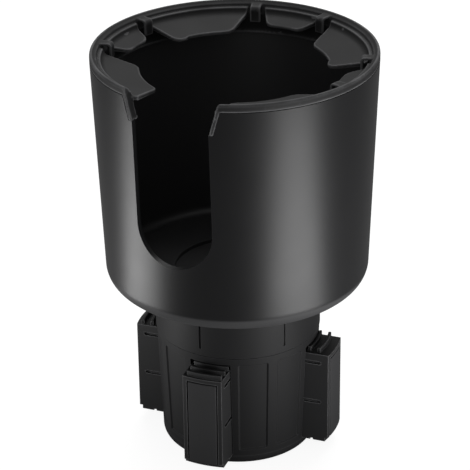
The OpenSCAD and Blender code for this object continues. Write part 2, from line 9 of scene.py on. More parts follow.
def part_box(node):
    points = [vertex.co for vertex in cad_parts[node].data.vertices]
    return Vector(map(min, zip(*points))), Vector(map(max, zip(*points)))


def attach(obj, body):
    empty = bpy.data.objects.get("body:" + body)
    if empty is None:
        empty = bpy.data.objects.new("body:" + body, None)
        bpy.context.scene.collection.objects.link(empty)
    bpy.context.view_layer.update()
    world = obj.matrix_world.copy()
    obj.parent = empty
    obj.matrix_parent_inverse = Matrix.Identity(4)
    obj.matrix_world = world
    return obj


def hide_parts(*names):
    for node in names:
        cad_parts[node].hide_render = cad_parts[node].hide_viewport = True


bl_info = {
    "name": "Cup Holder Expander",
    "version": (1, 0, 0),
    "blender": (4, 5, 0),
    "location": "3D View > Sidebar > Expander",
    "description": "Builds the looks of a cup holder expander around its CAD frame",
    "category": "Object",
}

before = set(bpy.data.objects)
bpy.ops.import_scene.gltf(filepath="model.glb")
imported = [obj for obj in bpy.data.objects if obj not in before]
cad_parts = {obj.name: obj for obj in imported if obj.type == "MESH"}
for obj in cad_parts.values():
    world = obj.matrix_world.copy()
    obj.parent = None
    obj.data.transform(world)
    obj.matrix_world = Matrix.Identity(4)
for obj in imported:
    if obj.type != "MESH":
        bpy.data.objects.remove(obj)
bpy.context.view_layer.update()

MM = 0.001
TINY = 0.01 * MM
FULL_TURN = 2 * math.pi

# Heights and radii that the frame gives
RIM_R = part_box("rubber_ring")[1].x
TOP_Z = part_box("rubber_ring")[1].z
COLLAR_LOW, COLLAR_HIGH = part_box("collar")
DRUM_LOW, DRUM_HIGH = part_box("drum")
COVER_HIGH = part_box("bottom_cover")[1]
JAW_LOW, JAW_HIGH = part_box("front_jaw")
PLATE_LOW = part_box("scroll_plate")[0]
BOLT_LOW, BOLT_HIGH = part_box("centre_bolt")
WASHER_LOW, WASHER_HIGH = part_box("flat_washer")
SPRING_LOW, SPRING_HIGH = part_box("spring_washer")
CUP_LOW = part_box("cup_shell")[0]
UNDERSIDE = COLLAR_HIGH.z

JAWS = ("front", "right", "back", "left")

# Where the rubber hooks stand, in degrees from the side opposite the slot
HOOK_ANGLES = (17.0, 71.5, 104.5)

# Angle between the middle of a hook and the flap beside it, and how far the sides of a long
# flap, of a long flap at its lobe and of a short flap lean in, in degrees
HOOK_ROOM = 2.6
LONG_LEAN, LOBE_LEAN, SHORT_LEAN = 9, 7.9, 5

# Corners of a long flap, on its back and front side, and of a short one
LONG_ROUNDS, SHORT_ROUNDS = (5 * MM, 4.2 * MM), (4.4 * MM, 4.4 * MM)

# Room between the ring and the cup, and the most triangles that the ring may have
ROOM = 0.1 * MM
RING_TRIS = 150000

# Where the guide grooves lie in a jaw's side, as shares of its height without the teeth
GROOVE_SHARES = (0.9, 0.453)

# The notch across a jaw's underside: its outer and inner radius, and its depth
NOTCH_OUT, NOTCH_IN, NOTCH_DEPTH = 36.4 * MM, 35.2 * MM, 0.7 * MM

# Depth of the sinks for the cover's screw heads, and the screws' distance from the drum's bore
SINK_DEPTH, SINK_INSET = 2.4 * MM, 6.8 * MM


# Sizes and colours that a user can change


def length(name, description, default):
    return FloatProperty(name=name, description=description, default=default, min=0,
                         precision=5, unit="LENGTH", subtype="DISTANCE")


def angle(name, description, degrees):
    return FloatProperty(name=name, description=description, default=math.radians(degrees),
                         subtype="ANGLE", unit="ROTATION")


def colour(name, description, default):
    return FloatVectorProperty(name=name, description=description, default=default,
                               size=3, min=0, max=1, subtype="COLOR")


def plain(name, description, default):
    return FloatProperty(name=name, description=description, default=default, min=0, precision=4)


class ExpanderCup(bpy.types.PropertyGroup):
    rim_radius: length("Rim Radius", "Outer radius of the cup at its rim", RIM_R)
    taper: length("Taper", "How much narrower the cup is above its bottom edge", 3.2 * MM)
    height: length("Height", "From the cup's underside to its rim", 96.8 * MM)
    wall: length("Wall", "Thickness of the wall", 2.4 * MM)
    floor: length("Floor", "Thickness of the floor", 3.8 * MM)
    edge: length("Bottom Edge", "Radius of the rounded bottom edge", 8 * MM)
    inner_edge: length("Inner Edge", "Radius between the wall and the floor inside", 3.6 * MM)
    recess_radius: length("Recess Radius", "Radius of the round recess in the floor", 26 * MM)
    recess_depth: length("Recess Depth", "Depth of that recess", 1.6 * MM)
    well_radius: length("Well Radius", "Radius of the well that holds the bolt's head", 10.5 * MM)
    well_depth: length("Well Depth", "Depth of the well below the recess", 4.4 * MM)
    screw_circle: length("Screw Circle", "Distance of the screws from the axis", 18 * MM)
    screw_hole: length("Screw Hole", "Radius of the holes for the screws", 1.7 * MM)
    bolt_hole: length("Bolt Hole", "Radius of the hole for the centre bolt", 3.3 * MM)
    slot_width: length("Slot Width", "Width of the slot for a mug's handle", 33 * MM)
    slot_rise: length("Slot Height", "Height of the slot's round end above the underside",
                      27.4 * MM)
    slot_lean: length("Slot Lean", "How far each side of the slot leans out at the rim", 2.6 * MM)
    lean_height: length("Lean Height", "Height of the leaning stretch under the rim", 9.6 * MM)
    soft_edge: length("Soft Edge", "Width that rounds the slot's and the rim's edges", 0.4 * MM)


class ExpanderRing(bpy.types.PropertyGroup):
    height: length("Height", "Height of the ring above the cup's rim", 3.6 * MM)
    width: length("Width", "Width of the ring's top", 2.9 * MM)
    edge: length("Edge", "Radius that rounds the ring's top edges", 1 * MM)
    dip: length("Dip", "Depth of the shallow channel in the ring's top", 0.2 * MM)
    fall: length("Fall", "How much lower the ring's inner edge is than its outer edge", 0.9 * MM)
    bead: length("Bead", "How far the bead at the skirt's lower edge stands inwards", 0.6 * MM)
    end_edge: length("End Edge", "Radius that rounds the ring's ends at the slot", 1.5 * MM)
    skirt: length("Skirt", "How far the skirt hangs below the rim", 10 * MM)
    skirt_wall: length("Skirt Wall", "Thickness of the skirt", 1.6 * MM)
    long_flap: length("Long Flaps", "How far the long flaps reach in", 15.4 * MM)
    short_flap: length("Short Flaps", "How far the short flaps reach in", 8.6 * MM)
    lobe: length("Lobes", "How far the long flaps' lobes reach past their tips", 1 * MM)
    flap_wall: length("Flap Wall", "Thickness of the flaps", 1.5 * MM)
    flap_drop: length("Flap Depth", "Depth of the flaps' roots below the ring's top", 5 * MM)
    flap_slope: angle("Flap Slope", "Slope of the flaps", 8.5)
    root: length("Root", "Radius of the hollow where a flap meets the skirt", 2.6 * MM)
    hook_width: length("Hook Width", "Width of the hooks between the flaps", 4.4 * MM)
    hook_reach: length("Hook Reach", "How far the hooks stand in from the skirt", 3.2 * MM)
    hook_height: length("Hook Height", "Height of the hooks", 6.8 * MM)
    hook_wall: length("Hook Wall", "Thickness of the hooks", 1.1 * MM)
    hook_bend: length("Hook Bend", "Radius of the hooks' outer bend", 1.7 * MM)
    leg: length("Leg", "Width of the legs over the slot's upper edges", 1.7 * MM)
    skin: length("Skin", "Size of the cells that the moulding is remeshed with", 0.34 * MM)


class ExpanderBase(bpy.types.PropertyGroup):
    collar_wall: length("Collar Wall", "Thickness of the collar's wall", 2.6 * MM)
    collar_deck: length("Collar Deck", "Thickness of the collar's top deck", 3 * MM)
    grooves: IntProperty(name="Grooves", description="Number of grooves around the collar",
                         default=6, min=1)
    groove_width: length("Groove Width", "Width of a groove", 0.9 * MM)
    groove_depth: length("Groove Depth", "Depth of a groove", 0.6 * MM)
    drum_wall: length("Drum Wall", "Thickness of the drum's wall at its foot", 2.4 * MM)
    drum_taper: length("Drum Taper", "How much narrower the drum is at its foot", 1.8 * MM)
    seat_wall: length("Seat Wall", "Thickness of the drum's wall around the spiral plate",
                      2.7 * MM)
    foot_edge: length("Foot Edge", "Radius that rounds the foot", 3.4 * MM)
    panel_depth: length("Panel Depth", "Depth of the panels in the drum's side", 0.6 * MM)
    panel_margin: length("Panel Margin", "Height left above and below the panels", 2.8 * MM)
    panel_angle: angle("Panel Angle", "Width of one panel", 22)
    panel_split: angle("Panel Split", "Angle between the middles of two panels", 28.4)
    window: length("Window", "Width of the windows for the jaws", 17.6 * MM)
    post: length("Post", "Thickness of the posts inside the drum", 1.5 * MM)
    soft_edge: length("Soft Edge", "Width that rounds the edges", 0.32 * MM)


class ExpanderJaw(bpy.types.PropertyGroup):
    turn: angle("Turn", "Turn of the jaws from the slot", 6.5)
    width: length("Width", "Width of a jaw", 17 * MM)
    reach: length("Reach", "Reach of the jaws from the axis", 43.8 * MM)
    length: length("Length", "Length of a jaw", 22.6 * MM)
    step: length("Step", "Height of the bare foot below the pad", 1.7 * MM)
    travel: length("Travel", "Travel of the jaws", 9.6 * MM)
    pad: length("Pad", "Thickness of the rubber pad", 1.3 * MM)
    pad_proud: length("Pad Proud", "How far the pad stands out of its frame", 0.15 * MM)
    pad_frame: length("Pad Frame", "Width of the frame around the pad", 1.8 * MM)
    pad_gap: length("Pad Gap", "Seam between the pad and its frame", 0.5 * MM)
    groove_height: length("Groove Height", "Height of the guide grooves", 1.4 * MM)
    groove_depth: length("Groove Depth", "Depth of the guide grooves", 0.9 * MM)
    groove_margin: length("Groove Margin", "Distance from a groove's end to the outer face",
                          3.2 * MM)
    tooth: length("Tooth", "Thickness of the teeth", 1.3 * MM)
    tooth_height: length("Tooth Height", "Height of the teeth", 2.1 * MM)
    tooth_margin: length("Tooth Margin", "Distance of the teeth from the jaw's sides", 1.1 * MM)
    pitch: length("Pitch", "Distance between the turns of the spiral", 4 * MM)
    soft_edge: length("Soft Edge", "Width that rounds the edges", 0.3 * MM)


class ExpanderFinish(bpy.types.PropertyGroup):
    cup: colour("Cup", "Satin black moulded plastic", (0.0085, 0.0085, 0.009))
    # Painted reflection: a paler colour on the faces that turn downwards, which stands in for the
    # floor mirrored in the lower edge
    cup_painted_reflection: colour("Cup Edge", "Matt lower edge of the cup", (0.034, 0.034, 0.035))
    # Painted light: the lining is paler than the cup, which brightens the shade inside the cup
    lining: colour("Lining", "Matt inside of the cup", (0.03, 0.03, 0.031))
    rubber: colour("Rubber", "Matt black rubber", (0.014, 0.014, 0.0144))
    base: colour("Base", "Spark-eroded black plastic", (0.012, 0.012, 0.0125))
    jaw: colour("Jaws", "Matt black plastic of the jaws", (0.019, 0.019, 0.0195))
    pad: colour("Pads", "Rubber of the jaws' pads", (0.032, 0.032, 0.033))
    drive: colour("Drive", "Black acetal of the spiral plate", (0.02, 0.02, 0.02))
    steel: colour("Steel", "Zinc-plated steel", (0.55, 0.56, 0.58))
    brass: colour("Brass", "Turned brass", (0.72, 0.52, 0.22))


class ExpanderStage(bpy.types.PropertyGroup):
    heading: angle("Heading", "The camera's turn from the slot", 27)
    distance: length("Distance", "The camera's distance from the axis", 777.293 * MM)
    height: length("Height", "The camera's height above the foot", 478.215 * MM)
    pitch: angle("Pitch", "How far the camera looks down", 26.435)
    yaw: angle("Yaw", "How far the camera looks aside", -0.06)
    roll: angle("Roll", "Roll of the camera", -0.741)
    lens: plain("Lens", "Focal length in millimetres", 160.159)
    right_light: plain("Right Light", "Power of the right softbox in watts", 0.84)
    left_light: plain("Left Light", "Power of the left softbox in watts", 0.56)
    top_light: plain("Top Light", "Power of the top softbox in watts", 6.0)
    ambient: plain("Ambient", "Strength of the light from all round", 0.35)
    room_mirrored: plain("Mirrored Room", "Strength of the room in reflections", 0.45)
    floor_colour: plain("Floor Colour", "Brightness of the floor's own colour", 0.22)
    floor_shown: plain("Floor Shown", "Light added to the floor for the camera", 0.9)
    floor_mirrored: plain("Floor Mirrored", "Light added to the floor in reflections", 0.08)


# Modelling helpers


def deselect():
    if bpy.context.object and bpy.context.object.mode != "OBJECT":
        bpy.ops.object.mode_set(mode="OBJECT")
    bpy.ops.object.select_all(action="DESELECT")


def pick(obj):
    deselect()
    obj.select_set(True)
    bpy.context.view_layer.objects.active = obj
    return obj


def edit(obj, mode="EDGE"):
    pick(obj)
    bpy.ops.object.mode_set(mode="EDIT")
    bpy.ops.mesh.select_mode(type=mode)
    bpy.ops.mesh.select_all(action="SELECT")


def leave():
    bpy.ops.object.mode_set(mode="OBJECT")


def arc(centre, radius, start, end, steps=8):
    """Points on an arc, from one angle in degrees to another."""
    turns = [math.radians(start + (end - start) * i / steps) for i in range(steps + 1)]
    return [(centre[0] + radius * math.cos(a), centre[1] + radius * math.sin(a)) for a in turns]


def fillet(before, corner, after, radius, steps=6):
    """The points of an arc that rounds one corner of an outline."""
    a, b, c = Vector(before), Vector(corner), Vector(after)
    u, w = (a - b).normalized(), (c - b).normalized()
    half = u.angle(w) / 2
    middle = b + (u + w).normalized() * radius / math.sin(half)
    first = b + u * radius / math.tan(half) - middle
    last = b + w * radius / math.tan(half) - middle
    turn = first.angle_signed(last)
    start = math.atan2(first.y, first.x)
    return [(middle.x + radius * math.cos(start - turn * i / steps),
             middle.y + radius * math.sin(start - turn * i / steps)) for i in range(steps + 1)]


def upright(points):
    return [Vector((x, 0, z)) for x, z in points]


def flat(points, z=0.0):
    return [Vector((x, y, z)) for x, y in points]


def trace(name, points, fill=True):
    """One vertex, extruded from point to point into a closed outline."""
    deselect()
    bpy.ops.mesh.primitive_plane_add(size=MM, location=(0, 0, 0))
    obj = bpy.context.object
    obj.name = name
    edit(obj, "VERT")
    bpy.ops.mesh.merge(type="CENTER")
    bpy.ops.transform.translate(value=points[0])
    for here, there in zip(points, points[1:]):
        bpy.ops.mesh.extrude_vertices_move(TRANSFORM_OT_translate={"value": there - here})
    bpy.ops.mesh.select_all(action="SELECT")
    bpy.ops.mesh.edge_face_add()
    if not fill:
        bpy.ops.mesh.delete(type="ONLY_FACE")
        mesh = bmesh.from_edit_mesh(obj.data)
        mesh.verts.ensure_lookup_table()
        ends = [v for v in mesh.verts if len(v.link_edges) == 1]
        for v in mesh.verts:
            v.select = v in ends
        bmesh.update_edit_mesh(obj.data)
        if len(ends) == 2:
            bpy.ops.mesh.edge_face_add()
    leave()
    return obj


def outward(obj):
    edit(obj)
    bpy.ops.mesh.remove_doubles(threshold=TINY / 10)
    bpy.ops.mesh.normals_make_consistent(inside=False)
    leave()
    return obj


def lathe(name, points, steps=180):
    """An outline of radii and heights, spun all the way round."""
    obj = trace(name, upright(points), fill=False)
    edit(obj)
    bpy.ops.mesh.spin(steps=steps, angle=FULL_TURN, center=(0, 0, 0), axis=(0, 0, 1))
    return outward(obj)


def sweep(name, points, start, end, steps=24, centre=(0, 0, 0)):
    """A filled outline of radii and heights, spun from one angle in degrees to another."""
    obj = trace(name, upright(points))
    place(obj, turn=math.radians(start), about=centre)
    edit(obj)
    bpy.ops.mesh.spin(steps=steps, angle=math.radians(start - end), center=centre, axis=(0, 0, 1))
    return outward(obj)


def pull(obj, way):
    """Extrudes a filled outline into a solid."""
    edit(obj, "FACE")
    bpy.ops.mesh.extrude_region_move(TRANSFORM_OT_translate={"value": way})
    return outward(obj)


def place(obj, move=(0, 0, 0), turn=0.0, about=(0, 0, 0)):
    """Turns a mesh about Z and moves it, and leaves its object at the origin."""
    pick(obj)
    spot = Vector(about)
    obj.matrix_world = (Matrix.Translation(Vector(move) + spot) @ Matrix.Rotation(turn, 4, "Z")
                        @ Matrix.Translation(-spot))
    bpy.ops.object.transform_apply(location=True, rotation=True, scale=True)
    return obj


def copy(obj, name, turn=0.0):
    pick(obj)
    bpy.ops.object.duplicate(linked=False)
    twin = bpy.context.object
    twin.name = name
    return place(twin, turn=turn)


def apply(obj, kind, **settings):
    pick(obj)
    modifier = obj.modifiers.new(kind.lower(), kind)
    for key, value in settings.items():
        setattr(modifier, key, value)
    bpy.ops.object.modifier_apply(modifier=modifier.name)
    return obj


def jaw_turn(jaw, number):
    return jaw.turn + FULL_TURN * number / len(JAWS)


def screw_spot(circle, number, turn=0.0):
    """The plan point of one of four screws, which stand half-way between the jaws."""
    around = turn + math.radians(45 + 90 * number)
    return circle * math.sin(around), -circle * math.cos(around)


def drop(obj):
    bpy.data.objects.remove(obj, do_unlink=True)


def carve(obj, tool, operation="DIFFERENCE"):
    """Cuts a tool out of a piece, or joins it on, and throws the tool away."""
    apply(obj, "BOOLEAN", object=tool, operation=operation, solver="EXACT")
    drop(tool)
    return obj


def together(objs, name):
    pick(objs[0])
    for obj in objs[1:]:
        obj.select_set(True)
    bpy.ops.object.join()
    objs[0].name = name
    return objs[0]


def clean(obj, nearer=TINY):
    edit(obj)
    bpy.ops.mesh.remove_doubles(threshold=nearer)
    bpy.ops.mesh.dissolve_degenerate(threshold=nearer)
    leave()
    return obj


def soften(obj, width, over=35, segments=2):
    """Rounds each edge that is sharper than an angle in degrees."""
    clean(obj)
    return apply(obj, "BEVEL", width=width, segments=segments, limit_method="ANGLE",
                 angle_limit=math.radians(over), use_clamp_overlap=True)


def smooth(obj, degrees=35):
    pick(obj)
    bpy.ops.object.shade_smooth_by_angle(angle=math.radians(degrees))
    apply(obj, "WEIGHTED_NORMAL", keep_sharp=True, weight=50)
    return obj


def box(name, low, high):
    deselect()
    middle = (Vector(low) + Vector(high)) / 2
    bpy.ops.mesh.primitive_cube_add(size=1, location=middle, scale=Vector(high) - Vector(low))
    obj = bpy.context.object
    obj.name = name
    return settle(obj)


def settle(obj):
    pick(obj)
    bpy.ops.object.transform_apply(location=True, rotation=True, scale=True)
    return obj


def pin(name, radius, low, high, at=(0, 0), sides=48):
    """A round cutter or stem."""
    deselect()
    bpy.ops.mesh.primitive_cylinder_add(vertices=sides, radius=radius, depth=high - low,
                                        location=(at[0], at[1], (low + high) / 2))
    obj = bpy.context.object
    obj.name = name
    return settle(obj)


def dress(obj, name, body, slot, material, *nodes):
    """Names a finished piece, gives it its finish and sets it on its body."""
    obj.name = name
    obj.data.name = name
    obj.data.materials.clear()
    obj.data.materials.append(material)
    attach(obj, body)
    if nodes:
        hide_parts(*nodes)
    return obj


# Shader node groups


def node(tree, kind, inputs=None, **settings):
    """A node with its settings, and with values for some of its inputs."""
    made = tree.nodes.new(kind)
    for key, value in settings.items():
        setattr(made, key, value)
    for key, value in (inputs or {}).items():
        made.inputs[key].default_value = value
    return made


def wire(tree, *links):
    """Links rows of a node, its output, another node and that one's input."""
    for start, output, end, entry in links:
        tree.links.new(start.outputs[output], end.inputs[entry])


def new_group(name, inputs, outputs):
    """An empty group: an input's kind follows from its value, an output's is stated."""
    tree = bpy.data.node_groups.new(name, "ShaderNodeTree")
    for label, value in inputs.items():
        kind = "NodeSocketColor" if isinstance(value, tuple) else "NodeSocketFloat"
        tree.interface.new_socket(label, in_out="INPUT", socket_type=kind).default_value = value
    for label, kind in outputs.items():
        tree.interface.new_socket(label, in_out="OUTPUT", socket_type=kind)
    return tree, tree.nodes.new("NodeGroupInput"), tree.nodes.new("NodeGroupOutput")


def shared(name, make):
    """A node group that is made once, for all the finishes."""
    return bpy.data.node_groups.get(name) or make(name)


def grain_group(name):
    """Fine moulded grain: an uneven roughness and a shallow bump."""
    tree, given, out = new_group(
        name,
        {"Cells per Metre": 2500.0, "Depth": 0.02 * MM, "Strength": 0.3, "Roughness": 0.5,
         "Spread": 0.05},
        {"Roughness": "NodeSocketFloat", "Normal": "NodeSocketVector"})
    spot = node(tree, "ShaderNodeTexCoord")
    fine = node(tree, "ShaderNodeTexNoise", {"Detail": 3, "Roughness": 0.6})
    broad = node(tree, "ShaderNodeTexNoise", {"Scale": 60, "Detail": 4})
    centre = node(tree, "ShaderNodeMath", {1: 0.5}, operation="SUBTRACT")
    spread = node(tree, "ShaderNodeMath", operation="MULTIPLY_ADD")
    bump = node(tree, "ShaderNodeBump")
    wire(tree,
         (spot, "Object", fine, "Vector"),
         (spot, "Object", broad, "Vector"),
         (given, "Cells per Metre", fine, "Scale"),
         (broad, "Fac", centre, 0),
         (centre, 0, spread, 0),
         (given, "Spread", spread, 1),
         (given, "Roughness", spread, 2),
         (spread, 0, out, "Roughness"),
         (fine, "Fac", bump, "Height"),
         (given, "Depth", bump, "Distance"),
         (given, "Strength", bump, "Strength"),
         (bump, "Normal", out, "Normal"))
    return tree


def painted_highlight_group(name):
    """Painted highlight: a colour that turns lighter along the rounded edges, where light catches
    them.
    """
    tree, given, out = new_group(
        name,
        {"Colour": (0.02, 0.02, 0.02, 1), "Edge Colour": (0.08, 0.08, 0.08, 1),
         "Radius": 0.6 * MM, "Amount": 0.6, "Drift": 0.15, "Full": 0.82, "Curved": 0.0},
        {"Colour": "NodeSocketColor"})
    spot = node(tree, "ShaderNodeTexCoord")
    surface = node(tree, "ShaderNodeNewGeometry")
    # Near an edge the rounded normal points another way than the surface's own
    rounded = node(tree, "ShaderNodeBevel", samples=6)
    alike = node(tree, "ShaderNodeVectorMath", operation="DOT_PRODUCT")
    mask = node(tree, "ShaderNodeMapRange", {"From Min": 0.998})
    # On a finely meshed piece the bend of the surface itself shows where an edge is
    bend = node(tree, "ShaderNodeMapRange", {"From Min": 0.504, "From Max": 0.53})
    both = node(tree, "ShaderNodeMath", operation="MAXIMUM")
    uneven = node(tree, "ShaderNodeTexNoise", {"Scale": 90, "Detail": 5})
    patchy_highlight = node(tree, "ShaderNodeMath", operation="MULTIPLY")
    amount = node(tree, "ShaderNodeMath", operation="MULTIPLY", use_clamp=True)
    lighter = node(tree, "ShaderNodeMix", data_type="RGBA")
    patch = node(tree, "ShaderNodeMapRange", {"To Min": 0})
    drift = node(tree, "ShaderNodeMix", {"B": (0.45, 0.45, 0.46, 1)}, data_type="RGBA",
                 blend_type="MULTIPLY")
    wire(tree,
         (given, "Radius", rounded, "Radius"),
         (rounded, "Normal", alike, 0),
         (surface, "Normal", alike, 1),
         (alike, "Value", mask, "Value"),
         (given, "Full", mask, "From Max"),
         (surface, "Pointiness", bend, "Value"),
         (given, "Curved", bend, "To Max"),
         (mask, "Result", both, 0),
         (bend, "Result", both, 1),
         (spot, "Object", uneven, "Vector"),
         (both, 0, patchy_highlight, 0),
         (uneven, "Fac", patchy_highlight, 1),
         (patchy_highlight, 0, amount, 0),
         (given, "Amount", amount, 1),
         (uneven, "Fac", patch, "Value"),
         (given, "Drift", patch, "To Max"),
         (patch, "Result", drift, "Factor"),
         (given, "Colour", drift, "A"),
         (amount, 0, lighter, "Factor"),
         (drift, "Result", lighter, "A"),
         (given, "Edge Colour", lighter, "B"),
         (lighter, "Result", out, "Colour"))
    return tree


def under_group(name):
    """A mask that is 1 where a surface turns downwards."""
    tree, given, out = new_group(name, {"Start": 0.12, "Full": 0.3}, {"Mask": "NodeSocketFloat"})
    spot = node(tree, "ShaderNodeTexCoord")
    parts = node(tree, "ShaderNodeSeparateXYZ")
    down = node(tree, "ShaderNodeMath", {1: -1}, operation="MULTIPLY")
    mask = node(tree, "ShaderNodeMapRange", interpolation_type="SMOOTHSTEP")
    wire(tree,
         (spot, "Normal", parts, 0),
         (parts, "Z", down, 0),
         (down, 0, mask, "Value"),
         (given, "Start", mask, "From Min"),
         (given, "Full", mask, "From Max"),
         (mask, "Result", out, "Mask"))
    return tree


# The finishes: each one's colour from the panel and how many times paler its painted edge
# highlight is, then its roughness, the size and depth of its grain, and how strongly that painted
# highlight shows
FINISHES = {
    "satin_cup_plastic": dict(
        colour="cup", paler=3, roughness=0.4, spread=0.06, cells=4200, depth=0.004 * MM,
        strength=0.15, edge_amount=0.5, specular=0.2, under="cup_painted_reflection"),
    "matt_cup_lining": dict(
        colour="lining", paler=2.5, roughness=0.44, spread=0.08, cells=2600, depth=0.015 * MM,
        strength=0.3, edge_amount=0.8),
    "matt_rim_rubber": dict(
        colour="rubber", paler=8, roughness=0.62, spread=0.1, cells=2600, depth=0.02 * MM,
        strength=0.35, edge_amount=1.6, edge_radius=1.1 * MM, edge_full=0.93, curved=1.0,
        specular=0.16),
    "eroded_base_plastic": dict(
        colour="base", paler=3, roughness=0.6, spread=0.08, cells=2200, depth=0.02 * MM,
        strength=0.3, specular=0.15),
    "matt_jaw_plastic": dict(
        colour="jaw", paler=6, roughness=0.52, spread=0.08, cells=2400, depth=0.015 * MM,
        strength=0.3, edge_amount=1.8, edge_full=0.88, specular=0.2),
    "pad_rubber": dict(
        colour="pad", paler=2.6, roughness=0.72, spread=0.08, cells=1500, depth=0.05 * MM,
        strength=0.5, edge_amount=0.5, specular=0.15),
    "black_acetal": dict(
        colour="drive", paler=2.5, roughness=0.4, spread=0.05, cells=3000, depth=0.005 * MM,
        strength=0.2),
    "zinc_plated_steel": dict(
        colour="steel", paler=1.3, roughness=0.34, spread=0.1, cells=5000, depth=0.004 * MM,
        strength=0.2, edge_amount=0.6, metallic=1.0, drift=0.35),
    "turned_brass": dict(
        colour="brass", paler=1.3, roughness=0.3, spread=0.08, cells=5000, depth=0.004 * MM,
        strength=0.2, edge_amount=0.6, metallic=1.0, drift=0.3),
}


def make_finish(name, colour, paler, roughness, spread, cells, depth, strength,
                edge_amount=1.2, edge_radius=0.6 * MM, edge_full=0.82, curved=0.0,
                specular=0.5, metallic=0.0, drift=0.2, under=None):
    """A moulded or turned finish from the groups and one shader."""
    panel = bpy.context.scene.expander_finish
    base = getattr(panel, colour)
    material = bpy.data.materials.new(name)
    material.use_nodes = True
    tree = material.node_tree
    shader = tree.nodes["Principled BSDF"]
    shader.inputs["Specular IOR Level"].default_value = specular
    shader.inputs["Metallic"].default_value = metallic
    grain = node(tree, "ShaderNodeGroup",
                 {"Cells per Metre": cells, "Depth": depth, "Strength": strength,
                  "Roughness": roughness, "Spread": spread},
                 node_tree=shared("moulded_grain", grain_group))
    # The edges get a painted highlight: their colour turns lighter along the rounding
    edges = node(tree, "ShaderNodeGroup",
                 {"Colour": (*base, 1), "Edge Colour": (*[min(1.0, c * paler) for c in base], 1),
                  "Radius": edge_radius, "Amount": edge_amount, "Full": edge_full,
                  "Curved": curved, "Drift": drift},
                 node_tree=shared("edge_polish", painted_highlight_group))
    wire(tree,
         (edges, "Colour", shader, "Base Color"),
         (grain, "Roughness", shader, "Roughness"),
         (grain, "Normal", shader, "Normal"))
    if under:
        # The rounded lower edge is left matt, and painted paler where it faces down: a painted
        # reflection of the floor
        turned = node(tree, "ShaderNodeGroup", node_tree=shared("turned_down", under_group))
        painted_reflection = node(tree, "ShaderNodeMix", {"B": (*getattr(panel, under), 1)},
                           data_type="RGBA")
        duller = node(tree, "ShaderNodeMapRange", {"To Max": 0.6})
        wire(tree,
             (turned, "Mask", painted_reflection, "Factor"),
             (edges, "Colour", painted_reflection, "A"),
             (painted_reflection, "Result", shader, "Base Color"),
             (turned, "Mask", duller, "Value"),
             (grain, "Roughness", duller, "To Min"),
             (duller, "Result", shader, "Roughness"))
    return material


def finish_of(name):
    return bpy.data.materials.get(name) or make_finish(name, **FINISHES[name])


# The cup


def rim_heights(cup):
    """Heights of the cup's rim, and of where the slot's sides begin to lean out below it."""
    rim_z = UNDERSIDE + cup.height
    return rim_z, rim_z - cup.lean_height


def slot_half(cup, z):
    """Half the slot's width at a height where its sides lean out."""
    return cup.slot_width / 2 + cup.slot_lean * (z - rim_heights(cup)[1]) / cup.lean_height


def slot_outline(cup, grow, top):
    """The slot seen from the front: a round end, straight sides and a lean under the rim."""
    lean_z = rim_heights(cup)[1]
    half = cup.slot_width / 2
    side = arc((0, UNDERSIDE + cup.slot_rise + half), half, -90, 0, 24)
    side += [(half, lean_z), (half + grow, lean_z), (slot_half(cup, top) + grow, top)]
    return side + [(-x, z) for x, z in reversed(side[1:])]


def cut_slot(obj, cup, outline):
    slot = trace("slot_tool", upright(outline))
    return carve(obj, pull(slot, (0, -cup.rim_radius - MM, 0)))


class EXPANDER_OT_cup(bpy.types.Operator):
    """Build the cup with its slot, recess and well"""
    bl_idname = "expander.cup"
    bl_label = "Cup"

    def execute(self, context):
        cup = context.scene.expander_cup
        ring = context.scene.expander_ring
        rim_z, floor_z = rim_heights(cup)[0], UNDERSIDE + cup.floor
        base_r = cup.rim_radius - cup.taper
        slope = cup.taper / (cup.height - cup.edge)
        inner_edge = cup.inner_edge
        low_in = base_r + slope * (floor_z + inner_edge - UNDERSIDE - cup.edge) - cup.wall
        recess_z = floor_z - cup.recess_depth
        well_z = recess_z - cup.well_depth
        boss_r = cup.well_radius + well_z - CUP_LOW.z
        outline = [(cup.bolt_hole, CUP_LOW.z), (boss_r, CUP_LOW.z), (boss_r, UNDERSIDE)]
        outline += arc((base_r - cup.edge, UNDERSIDE + cup.edge), cup.edge, -90, 0, 14)
        outline += [(cup.rim_radius, rim_z), (cup.rim_radius - cup.wall, rim_z)]
        outline += arc((low_in - inner_edge, floor_z + inner_edge), inner_edge, 0, -90, 12)
        outline += [(cup.recess_radius, floor_z), (cup.recess_radius, recess_z),
                    (cup.well_radius, recess_z), (cup.well_radius, well_z),
                    (cup.bolt_hole, well_z)]
        shell = lathe("cup", outline, 360)
        cut_slot(shell, cup, slot_outline(cup, ring.leg + ROOM, TOP_Z + MM))
        for i in range(len(JAWS)):
            spot = screw_spot(cup.screw_circle, i)
            carve(shell, pin("hole_tool", cup.screw_hole, UNDERSIDE - MM, floor_z, spot, 32))
        soften(shell, cup.soft_edge, over=40, segments=3)
        smooth(shell)
        dress(shell, "cup", "cup", "cup_plastic", finish_of("satin_cup_plastic"), "cup_shell")
        # The inside faces take the lining, whose paler colour is painted light in the shaded
        # inside
        shell.data.materials.append(finish_of("matt_cup_lining"))
        # The faces inside: behind the wall's outer part, and turned to the axis or upwards
        outer_share, upwards = 0.7, 0.7
        for face in shell.data.polygons:
            spot, normal = face.center, face.normal
            within = base_r + slope * (spot.z - UNDERSIDE - cup.edge) - outer_share * cup.wall
            inward = normal.dot(spot) - normal.z * spot.z < 0 or normal.z > upwards
            if spot.z > well_z - TINY and math.hypot(spot.x, spot.y) < within and inward:
                face.material_index = 1
        return {"FINISHED"}


# The rubber ring


